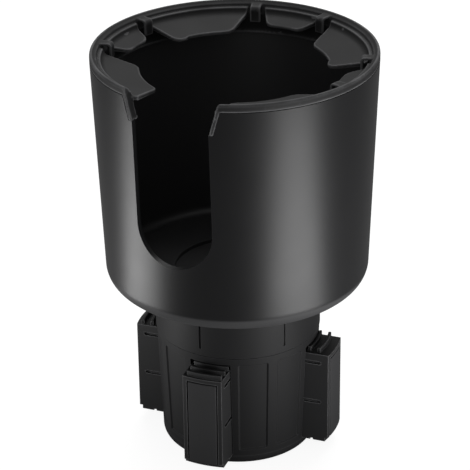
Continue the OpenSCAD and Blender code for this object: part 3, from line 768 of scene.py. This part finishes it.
def flap_section(ring, inner_r, root_z, reach):
    """A flap's section: hollow where it leaves the skirt, and round along its tip."""
    slope, tilt = math.tan(ring.flap_slope), 8
    half = ring.flap_wall / 2
    back = inner_r + half
    top = [(back, root_z + ring.root)] + arc((inner_r - ring.root, root_z + ring.root),
                                             ring.root, 0, -90, 6)
    tip = arc((inner_r - reach + half, root_z - slope * (reach - half) - half), half,
              90 + tilt, 270 - tilt, 8)
    return top + tip + [(inner_r, root_z - ring.flap_wall), (back, root_z - ring.flap_wall)]


def polar(radius, degrees):
    """A plan point, its angle counted from the side opposite the slot."""
    a = math.radians(degrees)
    return Vector((-radius * math.sin(a), radius * math.cos(a)))


def along(degrees):
    """The plan direction that runs round the ring at an angle."""
    return polar(MM, degrees + 90)


def degrees_of(point):
    return math.degrees(math.atan2(-point[0], point[1]))


def tip_arc(radius, start, end):
    return [polar(radius, start + (end - start) * i / 10) for i in range(11)]


def flap_plan(tip_r, far, start, end, leans, rounds, lobe=0.0):
    """A flap seen from above: its sides lean in, its corners are round, one may be a lobe."""
    first, last = start + leans[0], end - leans[1]
    near = fillet(polar(far, start), polar(tip_r, first),
                  polar(tip_r, first) + along(first), rounds[0])
    if lobe:
        # The lobe is an arc from where it crosses the tip to where it touches the far side
        round_r = rounds[1]
        middle = polar(tip_r - lobe + round_r, last)
        from_axis = middle.length
        aside = math.acos((tip_r ** 2 + from_axis ** 2 - round_r ** 2) / (2 * tip_r * from_axis))
        crossing = last - math.degrees(aside)
        out = polar(far, end) - middle
        entry, inmost = polar(tip_r, crossing) - middle, -middle.normalized()
        leave_at = Matrix.Rotation(math.acos(round_r / out.length), 2) @ out.normalized()
        begin = math.atan2(entry.y, entry.x)
        bend = -entry.angle_signed(inmost) - inmost.angle_signed(leave_at)
        ends = [middle + round_r * Vector((math.cos(begin + bend * i / 12),
                                           math.sin(begin + bend * i / 12)))
                for i in range(13)]
    else:
        ends = fillet(polar(tip_r, last) - along(last), polar(tip_r, last),
                      polar(far, end), rounds[1])
        crossing = degrees_of(ends[0])
    # One more point beyond the skirt, so that the plan covers the flap's whole root
    beyond = polar(far * 1.08, (start + end) / 2)
    return ([polar(far, start)] + near + tip_arc(tip_r, degrees_of(near[-1]), crossing)[1:-1]
            + ends + [polar(far, end), beyond])


def make_flap(ring, inner_r, root_z, start, end, reach, plan):
    """A flap's section swept between two angles and trimmed to its plan."""
    flap = sweep("flap", flap_section(ring, inner_r, root_z, reach), 90 + start, 90 + end, 30)
    trim = trace("trim_tool", flat(plan, root_z - 2 * reach))
    pull(trim, (0, 0, 3 * reach))
    return carve(flap, trim, "INTERSECT")


def make_flaps(ring, cup, inner_r, root_z):
    """The short flap at the back, and three flaps on each side up to the slot."""
    far, half = cup.rim_radius, cup.slot_width / 2
    first, second, third = HOOK_ANGLES
    end = 180 - math.degrees(math.asin(half / far))
    # The last flap's side runs along the slot
    lean = math.degrees(math.asin(half / (inner_r - ring.long_flap))) - 180 + end
    short, long = ring.short_flap, ring.long_flap
    spans = (
        (first + HOOK_ROOM, second - HOOK_ROOM, long, (LONG_LEAN, LOBE_LEAN), LONG_ROUNDS,
         ring.lobe),
        (second + HOOK_ROOM, third - HOOK_ROOM, short, (SHORT_LEAN, SHORT_LEAN), SHORT_ROUNDS, 0),
        (third + HOOK_ROOM, end, long, (LONG_LEAN, lean), LONG_ROUNDS, 0),
    )
    start, stop = HOOK_ROOM - first, first - HOOK_ROOM
    back = flap_plan(inner_r - short, far, start, stop, (SHORT_LEAN, SHORT_LEAN), SHORT_ROUNDS)
    flaps = [make_flap(ring, inner_r, root_z, start, stop, short, back)]
    for start, stop, reach, leans, rounds, lobe in spans:
        plan = flap_plan(inner_r - reach, far, start, stop, leans, rounds, lobe)
        twin = [Vector((-p[0], p[1])) for p in reversed(plan)]
        flaps.append(make_flap(ring, inner_r, root_z, start, stop, reach + lobe, plan))
        flaps.append(make_flap(ring, inner_r, root_z, -stop, -start, reach + lobe, twin))
    # Near the slot a flap has no hollow, and its foremost corner is cut off, so that nothing
    # stands past the ring's ends
    clear = slot_half(cup, root_z + ring.root)
    high, corner = root_z + 2 * ring.root, 3.5 * MM
    for flap in flaps[-2:]:
        carve(flap, box("end_tool", (-clear - MM, -far, root_z + 0.02 * MM),
                        (clear + MM, 0, high)))
        carve(flap, box("end_tool", (MM - clear, -far, root_z - 2 * ring.root),
                        (clear - MM, corner - inner_r, high)))
    return flaps


def make_hook(ring, inner_r, back, top_z, degrees):
    """A strap of rubber that bends down from the ring's inner edge and ends free."""
    front, low = inner_r - ring.hook_reach, top_z - ring.hook_height
    inner, under = front + ring.hook_wall, top_z - ring.hook_wall
    side = [(back, top_z)] + fillet((back, top_z), (front, top_z), (front, low), ring.hook_bend)
    side += [(front, low), (inner, low)]
    side += fillet((inner, low), (inner, under), (back, under), ring.hook_bend - ring.hook_wall)
    side += [(back, under)]
    half = ring.hook_width / 2
    strap = trace("hook", [Vector((x, -half, z)) for x, z in side])
    pull(strap, (0, 2 * half, 0))
    return place(strap, turn=math.radians(90 + degrees))


def make_legs(cup, ring, inner_r, slope):
    """Rubber over the slot's upper edges, as thick as the cup's wall and the skirt."""
    rim_z, lean_z = rim_heights(cup)
    half, high = cup.slot_width / 2, rim_z + 0.6 * MM
    wide = slot_half(cup, high)
    legs = []
    for s in (-1, 1):
        leg = trace("leg", upright([(s * half, lean_z), (s * wide, high),
                                    (s * (wide + ring.leg), high),
                                    (s * (half + ring.leg), lean_z)]))
        legs.append(pull(leg, (0, -cup.rim_radius - MM, 0)))
    both = together(legs, "legs")
    low_r = cup.rim_radius - slope * (cup.lean_height + MM)
    wall = lathe("leg_shell", [(inner_r, lean_z - MM), (low_r, lean_z - MM),
                               (cup.rim_radius, rim_z + MM), (inner_r, rim_z + MM)], 256)
    return carve(both, wall, "INTERSECT")


class EXPANDER_OT_rim(bpy.types.Operator):
    """Build the rubber ring with its skirt, flaps, hooks and legs"""
    bl_idname = "expander.rim"
    bl_label = "Rubber Ring"

    def execute(self, context):
        cup = context.scene.expander_cup
        ring = context.scene.expander_ring
        rim_z, lean_z = rim_heights(cup)
        top = rim_z + ring.height
        slope = cup.taper / (cup.height - cup.edge)
        wall_in = cup.rim_radius - cup.wall - ROOM
        skirt_z = rim_z - ring.skirt
        skirt_out = wall_in - slope * ring.skirt
        inner_r = skirt_out - ring.skirt_wall
        ring_in = cup.rim_radius - ring.width
        root_z = top - ring.flap_drop
        edge = ring.edge
        # From the bead out round the skirt's foot, up to the rim and over the ring's top
        lip, high, nick = inner_r - ring.bead, skirt_z + 2 * ring.bead, 0.1 * MM
        section = [(inner_r, high), (lip + nick, high - nick), (lip, high - 3 * nick),
                   (lip, skirt_z + 2 * nick), (lip + 2 * nick, skirt_z),
                   (skirt_out - 4 * nick, skirt_z), (skirt_out, skirt_z + 4 * nick),
                   (wall_in, rim_z), (cup.rim_radius - 2 * nick, rim_z),
                   (cup.rim_radius, rim_z + 2 * nick)]
        section += arc((cup.rim_radius - edge, top - edge), edge, 0, 90, 6)
        section += [((cup.rim_radius + ring_in) / 2, top - ring.dip - ring.fall / 2)]
        section += arc((ring_in + edge, top - edge - ring.fall), edge, 90, 180, 6)
        section += [(inner_r, root_z)]
        parts = [lathe("rim_band", section, 256)]
        for degrees in HOOK_ANGLES:
            for side in (-1, 1):
                parts.append(make_hook(ring, inner_r, ring_in + edge / 2, top - edge,
                                       side * degrees))
        band = apply(together(parts, "rim_band"), "REMESH", mode="VOXEL", voxel_size=ring.skin)
        # The slot parts the ring before the legs and flaps go on, with its ends rounded
        half, wide, over = cup.slot_width / 2, slot_half(cup, top), top + TINY
        out = wide + 6 * MM
        side = [(half, UNDERSIDE + cup.slot_rise), (half, lean_z)]
        side += fillet((half, lean_z), (wide, over), (out, over), ring.end_edge)
        side += [(out, over), (out, top + 4 * MM)]
        cut_slot(band, cup, side + [(-x, z) for x, z in reversed(side)])
        parts = [band, make_legs(cup, ring, inner_r, slope)]
        parts += make_flaps(ring, cup, inner_r, root_z)
        moulding = together(parts, "rim_ring")
        apply(moulding, "REMESH", mode="VOXEL", voxel_size=ring.skin)
        apply(moulding, "SMOOTH", factor=0.5, iterations=3)
        tris = sum(len(p.vertices) - 2 for p in moulding.data.polygons)
        apply(moulding, "DECIMATE", ratio=min(1.0, RING_TRIS / tris))
        pick(moulding)
        bpy.ops.object.shade_smooth()
        dress(moulding, "rim_ring", "cup", "soft_rubber", finish_of("matt_rim_rubber"),
              "rubber_ring")
        return {"FINISHED"}


# The collar and the drum


class EXPANDER_OT_collar(bpy.types.Operator):
    """Build the grooved collar under the cup"""
    bl_idname = "expander.collar"
    bl_label = "Collar"

    def execute(self, context):
        base = context.scene.expander_base
        cup = context.scene.expander_cup
        radius, low, high = COLLAR_HIGH.x, COLLAR_LOW.z, COLLAR_HIGH.z
        deck = high - base.collar_deck
        hole = cup.well_radius + 2.2 * MM
        inner = radius - base.collar_wall
        collar = lathe("collar", [(inner, low), (radius, low), (radius, high), (hole, high),
                                  (hole, deck), (inner, deck)], 240)
        half = base.groove_width / 2
        for i in range(base.grooves):
            tool = box("groove_tool", (-half, -radius - MM, low + base.collar_deck),
                       (half, -radius + base.groove_depth, high + MM))
            carve(collar, place(tool, turn=FULL_TURN * i / base.grooves))
        for i in range(len(JAWS)):
            spot = screw_spot(cup.screw_circle, i)
            carve(collar, pin("hole_tool", cup.screw_hole, deck - MM, high + MM, spot, 32))
        soften(collar, base.soft_edge * 0.6, over=50)
        smooth(collar)
        dress(collar, "collar", "cup", "base_plastic", finish_of("eroded_base_plastic"),
              "collar")
        return {"FINISHED"}


class EXPANDER_OT_drum(bpy.types.Operator):
    """Build the drum with its panels, windows and inner posts"""
    bl_idname = "expander.drum"
    bl_label = "Drum"

    def execute(self, context):
        base = context.scene.expander_base
        jaw = context.scene.expander_jaw
        top_r, low, high = DRUM_HIGH.x, DRUM_LOW.z, DRUM_HIGH.z
        foot_r = top_r - base.drum_taper
        bore = foot_r - base.drum_wall
        seat = top_r - base.seat_wall
        ledge = PLATE_LOW.z + jaw.tooth_height - 0.15 * MM
        slope = base.drum_taper / (high - low)
        drum = lathe("drum", [(bore, low), (foot_r, low), (top_r, high), (seat, high),
                              (seat, ledge), (bore, ledge)], 288)
        half = base.window / 2
        window_top = ledge + 0.25 * MM
        panel_low, panel_high = low + base.panel_margin, high - base.panel_margin
        panel, far = math.degrees(base.panel_angle), top_r + 2 * MM
        for i in range(len(JAWS)):
            turn = jaw_turn(jaw, i)
            tool = box("window_tool", (-half, -top_r - MM, low - MM), (half, 0, window_top))
            carve(drum, place(tool, turn=turn))
            for side in (-1, 1):
                middle = -45 + side * math.degrees(base.panel_split) / 2
                tool = sweep("panel_tool", [
                    (foot_r + slope * (panel_low - low) - base.panel_depth, panel_low),
                    (far, panel_low), (far, panel_high),
                    (foot_r + slope * (panel_high - low) - base.panel_depth, panel_high)],
                    middle - panel / 2, middle + panel / 2, 18)
                soften(tool, 0.9 * MM, over=60, segments=1)
                carve(drum, place(tool, turn=turn))
        soften(drum, base.soft_edge, over=32)
        reach = bore - 0.7 * MM
        inner = [(half, half), (reach, half), (reach, half + base.post),
                 (half + base.post, half + base.post), (half + base.post, reach), (half, reach)]
        post_top = JAW_HIGH.z - jaw.tooth_height - 0.3 * MM
        posts = []
        for i in range(len(JAWS)):
            post = trace("post", flat(inner, low + 0.05 * MM))
            pull(post, (0, 0, post_top - low))
            posts.append(place(post, turn=jaw_turn(jaw, i)))
        carve(drum, together(posts, "posts"), "UNION")
        smooth(drum)
        dress(drum, "drum", "base", "base_plastic", finish_of("eroded_base_plastic"), "drum")
        return {"FINISHED"}


def cover_circle(base):
    """Distance of the cover's screws from the axis."""
    return COVER_HIGH.x - base.drum_wall - SINK_INSET


class EXPANDER_OT_foot(bpy.types.Operator):
    """Build the bottom cover with its rounded foot and its column"""
    bl_idname = "expander.foot"
    bl_label = "Bottom Cover"

    def execute(self, context):
        base = context.scene.expander_base
        jaw = context.scene.expander_jaw
        radius, high = COVER_HIGH.x, DRUM_LOW.z
        column, bore, hollow = 7 * MM, 0.4 * MM, 0.5 * MM
        edge = base.foot_edge
        outline = [(bore, hollow), (radius - edge - 2 * MM, hollow),
                   (radius - edge - 1.2 * MM, 0)]
        outline += arc((radius - edge, edge), edge, -90, 0, 10)
        outline += [(radius, high), (column, high), (column, COVER_HIGH.z),
                    (bore, COVER_HIGH.z)]
        cover = lathe("bottom_cover", outline, 240)
        for i in range(len(JAWS)):
            spot = screw_spot(cover_circle(base), i, jaw.turn)
            carve(cover, pin("sink_tool", 3.3 * MM, -MM, SINK_DEPTH, spot, 48))
            carve(cover, pin("hole_tool", 1.7 * MM, -MM, high + MM, spot, 32))
        soften(cover, base.soft_edge * 0.8, over=40)
        smooth(cover)
        dress(cover, "bottom_cover", "base", "base_plastic", finish_of("eroded_base_plastic"),
              "bottom_cover")
        return {"FINISHED"}


# The jaws and their pads


def jaw_heights(jaw):
    """Heights of the pad's foot and of the jaw's top under its teeth."""
    return JAW_LOW.z + jaw.step, JAW_HIGH.z - jaw.tooth_height


def tooth_radii(jaw, number):
    """Radii half-way between the turns of the spiral at a jaw."""
    quarter = (jaw.turn + number * math.pi / 2) / FULL_TURN
    first = jaw.pitch * (quarter + 0.5)
    low = jaw.reach - jaw.length + 2 * jaw.tooth_margin
    high = jaw.reach - 1.5 * jaw.tooth_margin
    return [first + k * jaw.pitch for k in range(14) if low < first + k * jaw.pitch < high]


def make_jaw_body(jaw):
    """A jaw without teeth that points along -Y, with its foot, its recess and its grooves."""
    low, (face, top) = JAW_LOW.z, jaw_heights(jaw)
    half = jaw.width / 2
    back = jaw.reach - jaw.length
    side = math.degrees(math.asin(half / jaw.reach))
    front = arc((0, 0), jaw.reach, -90 - side, -90 + side, 14)
    body = trace("jaw", flat([(-half, -back)] + front + [(half, -back)], low))
    pull(body, (0, 0, top - low))
    pad_back, far = jaw.reach - jaw.pad, jaw.reach + 3 * MM
    pad_low, pad_high = face - 0.5 * MM, top - jaw.pad_frame
    wide = math.degrees(math.asin((half - jaw.pad_frame) / jaw.reach))
    foot = sweep("foot_tool", [(pad_back, low - MM), (far, low - MM), (far, face),
                               (pad_back, face)], -90 - 2 * side, -90 + 2 * side, 24)
    carve(body, foot)
    recess = sweep("recess_tool", [(pad_back, pad_low), (far, pad_low), (far, pad_high),
                                   (pad_back, pad_high)], -90 - wide, -90 + wide, 18)
    carve(body, recess)
    stop = math.sqrt(jaw.reach ** 2 - half ** 2) - jaw.groove_margin
    height = jaw.groove_height
    for share in GROOVE_SHARES:
        z = low + share * (top - low)
        for s in (-1, 1):
            x = s * (half - jaw.groove_depth)
            tool = trace("groove_tool", [Vector((x, y, z + up)) for y, up in
                                         arc((-stop + height / 2, 0), height / 2, 90, 270, 10)
                                         + [(-back + MM, -height / 2), (-back + MM, height / 2)]])
            pull(tool, (s * 2 * jaw.groove_depth, 0, 0))
            carve(body, tool)
    carve(body, box("notch_tool", (-half - MM, -NOTCH_OUT, low - MM),
                    (half + MM, -NOTCH_IN, low + NOTCH_DEPTH)))
    return soften(body, jaw.soft_edge, over=40)


def make_teeth(jaw, number):
    """The arcs on a jaw's top that run between the turns of the spiral."""
    drift, middle = jaw.pitch / FULL_TURN, jaw.travel / 2
    root, high = jaw_heights(jaw)[1] - 0.3 * MM, JAW_HIGH.z
    thick, round_r = jaw.tooth / 2, 0.35 * MM
    teeth = []
    for radius in tooth_radii(jaw, number):
        r = radius - middle
        half = math.degrees(math.asin((jaw.width / 2 - jaw.tooth_margin) / r))
        outline = [(r - thick, root), (r + thick, root)]
        outline += arc((r + thick - round_r, high - round_r), round_r, 0, 90, 3)
        outline += arc((r - thick + round_r, high - round_r), round_r, 90, 180, 3)
        tooth = sweep("tooth", outline, -90 - half, -90 + half, 20)
        teeth.append(place(tooth, move=(drift, -middle, 0)))
    return together(teeth, "teeth")


class EXPANDER_OT_jaws(bpy.types.Operator):
    """Build the four jaws with their scroll teeth and guide grooves"""
    bl_idname = "expander.jaws"
    bl_label = "Jaws"

    def execute(self, context):
        jaw = context.scene.expander_jaw
        body = make_jaw_body(jaw)
        for number, name in enumerate(JAWS):
            piece = copy(body, name + "_jaw_body")
            carve(piece, make_teeth(jaw, number), "UNION")
            place(piece, turn=jaw_turn(jaw, number))
            smooth(piece)
            dress(piece, name + "_jaw_body", "jaw_" + name, "jaw_plastic",
                  finish_of("matt_jaw_plastic"), name + "_jaw")
        drop(body)
        return {"FINISHED"}


class EXPANDER_OT_pads(bpy.types.Operator):
    """Build the rubber pads in the jaws' outer faces"""
    bl_idname = "expander.pads"
    bl_label = "Pads"

    def execute(self, context):
        jaw = context.scene.expander_jaw
        face, top = jaw_heights(jaw)
        back, front = jaw.reach - jaw.pad + 0.02 * MM, jaw.reach + jaw.pad_proud
        high = top - jaw.pad_frame - jaw.pad_gap
        wide = math.degrees(math.asin((jaw.width / 2 - jaw.pad_frame - jaw.pad_gap) / jaw.reach))
        pad = sweep("pad", [(back, face), (front, face), (front, high), (back, high)],
                    -90 - wide, -90 + wide, 20)
        soften(pad, 0.4 * MM, over=40, segments=3)
        for number, name in enumerate(JAWS):
            piece = copy(pad, name + "_grip_pad", turn=jaw_turn(jaw, number))
            smooth(piece)
            dress(piece, name + "_grip_pad", "jaw_" + name, "soft_rubber",
                  finish_of("pad_rubber"), name + "_pad")
        drop(pad)
        return {"FINISHED"}


# Fasteners and the drive


def make_screw(length_mm):
    """A pan-head screw that points down, with its head's underside at zero."""
    stem, head, rise = 1.5 * MM, 3 * MM, 1.5 * MM
    long, plain_mm, pitch_mm = length_mm * MM, 2, 1.25
    outline = [(0, -long), (stem - 0.5 * MM, -long), (stem, -long + 0.8 * MM)]
    for i in range(int((length_mm - plain_mm) / pitch_mm)):
        z = -long + 1.2 * MM + pitch_mm * MM * i
        outline += [(stem - 0.3 * MM, z), (stem, z + 0.5 * MM)]
    outline += [(stem, -0.6 * MM), (stem, 0), (head, 0)]
    outline += [(head, 0.5 * MM), (head - 0.25 * MM, 0.95 * MM), (head - 0.8 * MM, 1.3 * MM),
                (head - 1.6 * MM, rise), (0, rise)]
    screw = lathe("screw", outline, 40)
    arm, thin, low = 1.65 * MM, 0.35 * MM, rise - 0.8 * MM
    for x, y in ((arm, thin), (thin, arm)):
        carve(screw, box("cross_tool", (-x, -y, low), (x, y, rise + MM)))
    return clean(screw)


def screw_set(name, length_mm, circle, z, turn=0.0, upside_down=False):
    """Four screws on a circle, each with its cross turned another way."""
    screw = make_screw(length_mm)
    screws = []
    for i in range(len(JAWS)):
        one = copy(screw, "screw", turn=0.4 * i)
        if upside_down:
            one.rotation_euler = (math.pi, 0, 0)
        one.location = (*screw_spot(circle, i, turn), z)
        screws.append(settle(one))
    drop(screw)
    return smooth(together(screws, name))


class EXPANDER_OT_fasteners(bpy.types.Operator):
    """Build the screws, the centre bolt and its washers"""
    bl_idname = "expander.fasteners"
    bl_label = "Fasteners"

    def execute(self, context):
        cup = context.scene.expander_cup
        base = context.scene.expander_base
        jaw = context.scene.expander_jaw
        steel = finish_of("zinc_plated_steel")
        seat = UNDERSIDE + cup.floor - cup.recess_depth
        dress(screw_set("cup_screw_set", 14, cup.screw_circle, seat),
              "cup_screw_set", "cup", "screw_steel", steel, "cup_screws")
        dress(screw_set("cover_screw_set", 9.5, cover_circle(base), SINK_DEPTH, jaw.turn, True),
              "cover_screw_set", "base", "screw_steel", steel, "cover_screws")
        stem, head, chamfer = 3 * MM, 4.8 * MM, 0.5 * MM
        top, under = BOLT_HIGH.z, SPRING_HIGH.z
        outline = [(0, BOLT_LOW.z), (stem - 0.6 * MM, BOLT_LOW.z), (stem, BOLT_LOW.z + 0.8 * MM),
                   (stem, under), (head, under), (head, top - chamfer), (head - chamfer, top),
                   (0, top)]
        bolt = lathe("bolt", outline, 72)
        carve(bolt, pin("socket_tool", 2.52 * MM, top - 1.3 * MM, top + MM, sides=6))
        soft_edge, hole, split = 0.12 * MM, 3.08 * MM, 0.45 * MM
        soften(bolt, soft_edge, over=40)
        smooth(bolt)
        dress(bolt, "bolt", "base", "screw_steel", steel, "centre_bolt")
        for name, low, high, radius, cad in (
                ("washer_flat", WASHER_LOW.z, WASHER_HIGH.z, 7.2 * MM, "flat_washer"),
                ("washer_spring", SPRING_LOW.z, SPRING_HIGH.z, 5.1 * MM, "spring_washer")):
            washer = lathe(name, [(hole, low), (radius, low), (radius, high), (hole, high)], 96)
            if cad == "spring_washer":
                tool = box("split_tool", (-split, 0, low - MM), (split, 8 * MM, high + MM))
                carve(washer, place(tool, turn=math.radians(60)))
            soften(washer, soft_edge, over=40)
            smooth(washer)
            dress(washer, name, "base", "screw_steel", steel, cad)
        return {"FINISHED"}


class EXPANDER_OT_drive(bpy.types.Operator):
    """Give the spiral plate and the threaded insert their finishes"""
    bl_idname = "expander.drive"
    bl_label = "Drive"

    def execute(self, context):
        for name, finish in (("scroll_plate", "black_acetal"),
                             ("threaded_insert", "turned_brass")):
            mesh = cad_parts[name].data
            mesh.materials.clear()
            mesh.materials.append(finish_of(finish))
        return {"FINISHED"}


# The stage


def softbox(name, azimuth, distance, height, wide, tall, watts, aim=0.09):
    """A rectangular lamp that faces a height on the axis; its azimuth runs from -Y to +X."""
    a = math.radians(azimuth)
    spot = Vector((distance * math.sin(a), -distance * math.cos(a), height))
    lamp = bpy.data.lights.new(name, "AREA")
    lamp.shape = "RECTANGLE"
    lamp.size = wide
    lamp.size_y = tall
    lamp.energy = watts
    obj = bpy.data.objects.new(name, lamp)
    obj.location = spot
    obj.rotation_euler = (Vector((0, 0, aim)) - spot).to_track_quat("-Z", "Y").to_euler()
    bpy.context.scene.collection.objects.link(obj)


def strength_by_ray(tree, shown, mirrored, lit):
    """A node: strength for what the camera sees, what mirrors see, and what lights the object."""
    path = node(tree, "ShaderNodeLightPath")
    either = node(tree, "ShaderNodeMath", operation="MAXIMUM")
    bounced = node(tree, "ShaderNodeMapRange", {"To Min": lit, "To Max": mirrored})
    strength = node(tree, "ShaderNodeMapRange", {"To Max": shown})
    wire(tree,
         (path, "Is Glossy Ray", either, 0),
         (path, "Is Transmission Ray", either, 1),
         (either, 0, bounced, "Value"),
         (path, "Is Camera Ray", strength, "Value"),
         (bounced, "Result", strength, "To Min"))
    return strength


def floor_material(stage):
    """A pale floor that is brighter to the camera than it lights the object."""
    material = bpy.data.materials.new("pale_floor")
    material.use_nodes = True
    tree = material.node_tree
    tree.nodes.clear()
    out = node(tree, "ShaderNodeOutputMaterial")
    lit = node(tree, "ShaderNodeBsdfDiffuse", {"Color": (*[stage.floor_colour] * 3, 1)})
    glow = node(tree, "ShaderNodeEmission", {"Color": (1, 1, 1, 1)})
    strength = strength_by_ray(tree, stage.floor_shown, stage.floor_mirrored, 0)
    both = node(tree, "ShaderNodeAddShader")
    wire(tree,
         (strength, "Result", glow, "Strength"),
         (lit, 0, both, 0),
         (glow, 0, both, 1),
         (both, 0, out, "Surface"))
    return material


class EXPANDER_OT_stage(bpy.types.Operator):
    """Build the floor, the lamps, the world and the camera"""
    bl_idname = "expander.stage"
    bl_label = "Stage"

    def execute(self, context):
        stage = context.scene.expander_stage
        deselect()
        bpy.ops.mesh.primitive_plane_add(size=8, location=(0, 0, 0))
        floor = bpy.context.object
        floor.name = "floor"
        floor.data.materials.append(floor_material(stage))
        heading = math.degrees(stage.heading)
        # Two low lamps beside the camera, tilted up to graze the cup's sides, and one on high
        softbox("right_softbox", azimuth=heading + 44.5, distance=0.22, height=0.03, wide=0.13,
                tall=0.15, watts=stage.right_light, aim=0.6)
        softbox("left_softbox", azimuth=heading - 79, distance=0.22, height=0.03, wide=0.1,
                tall=0.15, watts=stage.left_light, aim=0.6)
        softbox("top_softbox", azimuth=heading + 170, distance=0.5, height=0.95, wide=0.8,
                tall=0.8, watts=stage.top_light)
        world = bpy.data.worlds.new("pale_room")
        context.scene.world = world
        world.use_nodes = True
        tree = world.node_tree
        back = tree.nodes["Background"]
        back.inputs["Color"].default_value = (1, 1, 1, 1)
        strength = strength_by_ray(tree, 1.0, stage.room_mirrored, stage.ambient)
        wire(tree, (strength, "Result", back, "Strength"))
        # The camera: turned to its heading, then aimed, then rolled
        lens = bpy.data.cameras.new("camera")
        lens.lens = stage.lens
        lens.sensor_width = 36
        camera = bpy.data.objects.new("camera", lens)
        context.scene.collection.objects.link(camera)
        ahead = Vector((math.sin(stage.yaw) * math.cos(stage.pitch),
                        math.cos(stage.yaw) * math.cos(stage.pitch), -math.sin(stage.pitch)))
        right = Vector((math.cos(stage.yaw), -math.sin(stage.yaw), 0))
        up = right.cross(ahead)
        right, up = (right * math.cos(stage.roll) + up * math.sin(stage.roll),
                     up * math.cos(stage.roll) - right * math.sin(stage.roll))
        spot = Vector((0, -stage.distance, stage.height))
        aimed = Matrix((right, up, -ahead)).transposed().to_4x4()
        camera.matrix_world = (Matrix.Rotation(stage.heading, 4, "Z")
                               @ Matrix.Translation(spot) @ aimed)
        context.scene.camera = camera
        context.scene.view_settings.view_transform = "Standard"
        return {"FINISHED"}


class EXPANDER_PT_panel(bpy.types.Panel):
    """Lists the sizes, the finishes and the steps that build the expander"""
    bl_idname = "EXPANDER_PT_panel"
    bl_label = "Cup Holder Expander"
    bl_space_type = "VIEW_3D"
    bl_region_type = "UI"
    bl_category = "Expander"

    def draw(self, context):
        scene = context.scene
        for operator in OPERATORS:
            self.layout.operator(operator.bl_idname)
        for key, group in GROUPS.items():
            column = self.layout.box().column()
            column.label(text=group.__name__.replace("Expander", ""))
            settings = getattr(scene, key)
            for name in group.__annotations__:
                column.prop(settings, name)


GROUPS = {
    "expander_cup": ExpanderCup,
    "expander_ring": ExpanderRing,
    "expander_base": ExpanderBase,
    "expander_jaw": ExpanderJaw,
    "expander_finish": ExpanderFinish,
    "expander_stage": ExpanderStage,
}
OPERATORS = (EXPANDER_OT_cup, EXPANDER_OT_rim, EXPANDER_OT_collar, EXPANDER_OT_drum,
             EXPANDER_OT_foot, EXPANDER_OT_jaws, EXPANDER_OT_pads, EXPANDER_OT_fasteners,
             EXPANDER_OT_drive, EXPANDER_OT_stage)


def register():
    for group in GROUPS.values():
        bpy.utils.register_class(group)
    for operator in OPERATORS:
        bpy.utils.register_class(operator)
    bpy.utils.register_class(EXPANDER_PT_panel)
    for key, group in GROUPS.items():
        setattr(bpy.types.Scene, key, PointerProperty(type=group))


def unregister():
    for key in GROUPS:
        delattr(bpy.types.Scene, key)
    bpy.utils.unregister_class(EXPANDER_PT_panel)
    for operator in reversed(OPERATORS):
        bpy.utils.unregister_class(operator)
    for group in reversed(list(GROUPS.values())):
        bpy.utils.unregister_class(group)


def main():
    register()
    bpy.ops.expander.cup()
    bpy.ops.expander.rim()
    bpy.ops.expander.collar()
    bpy.ops.expander.drum()
    bpy.ops.expander.foot()
    bpy.ops.expander.jaws()
    bpy.ops.expander.pads()
    bpy.ops.expander.fasteners()
    bpy.ops.expander.drive()
    bpy.ops.expander.stage()
    deselect()


if __name__ == "__main__":
    main()
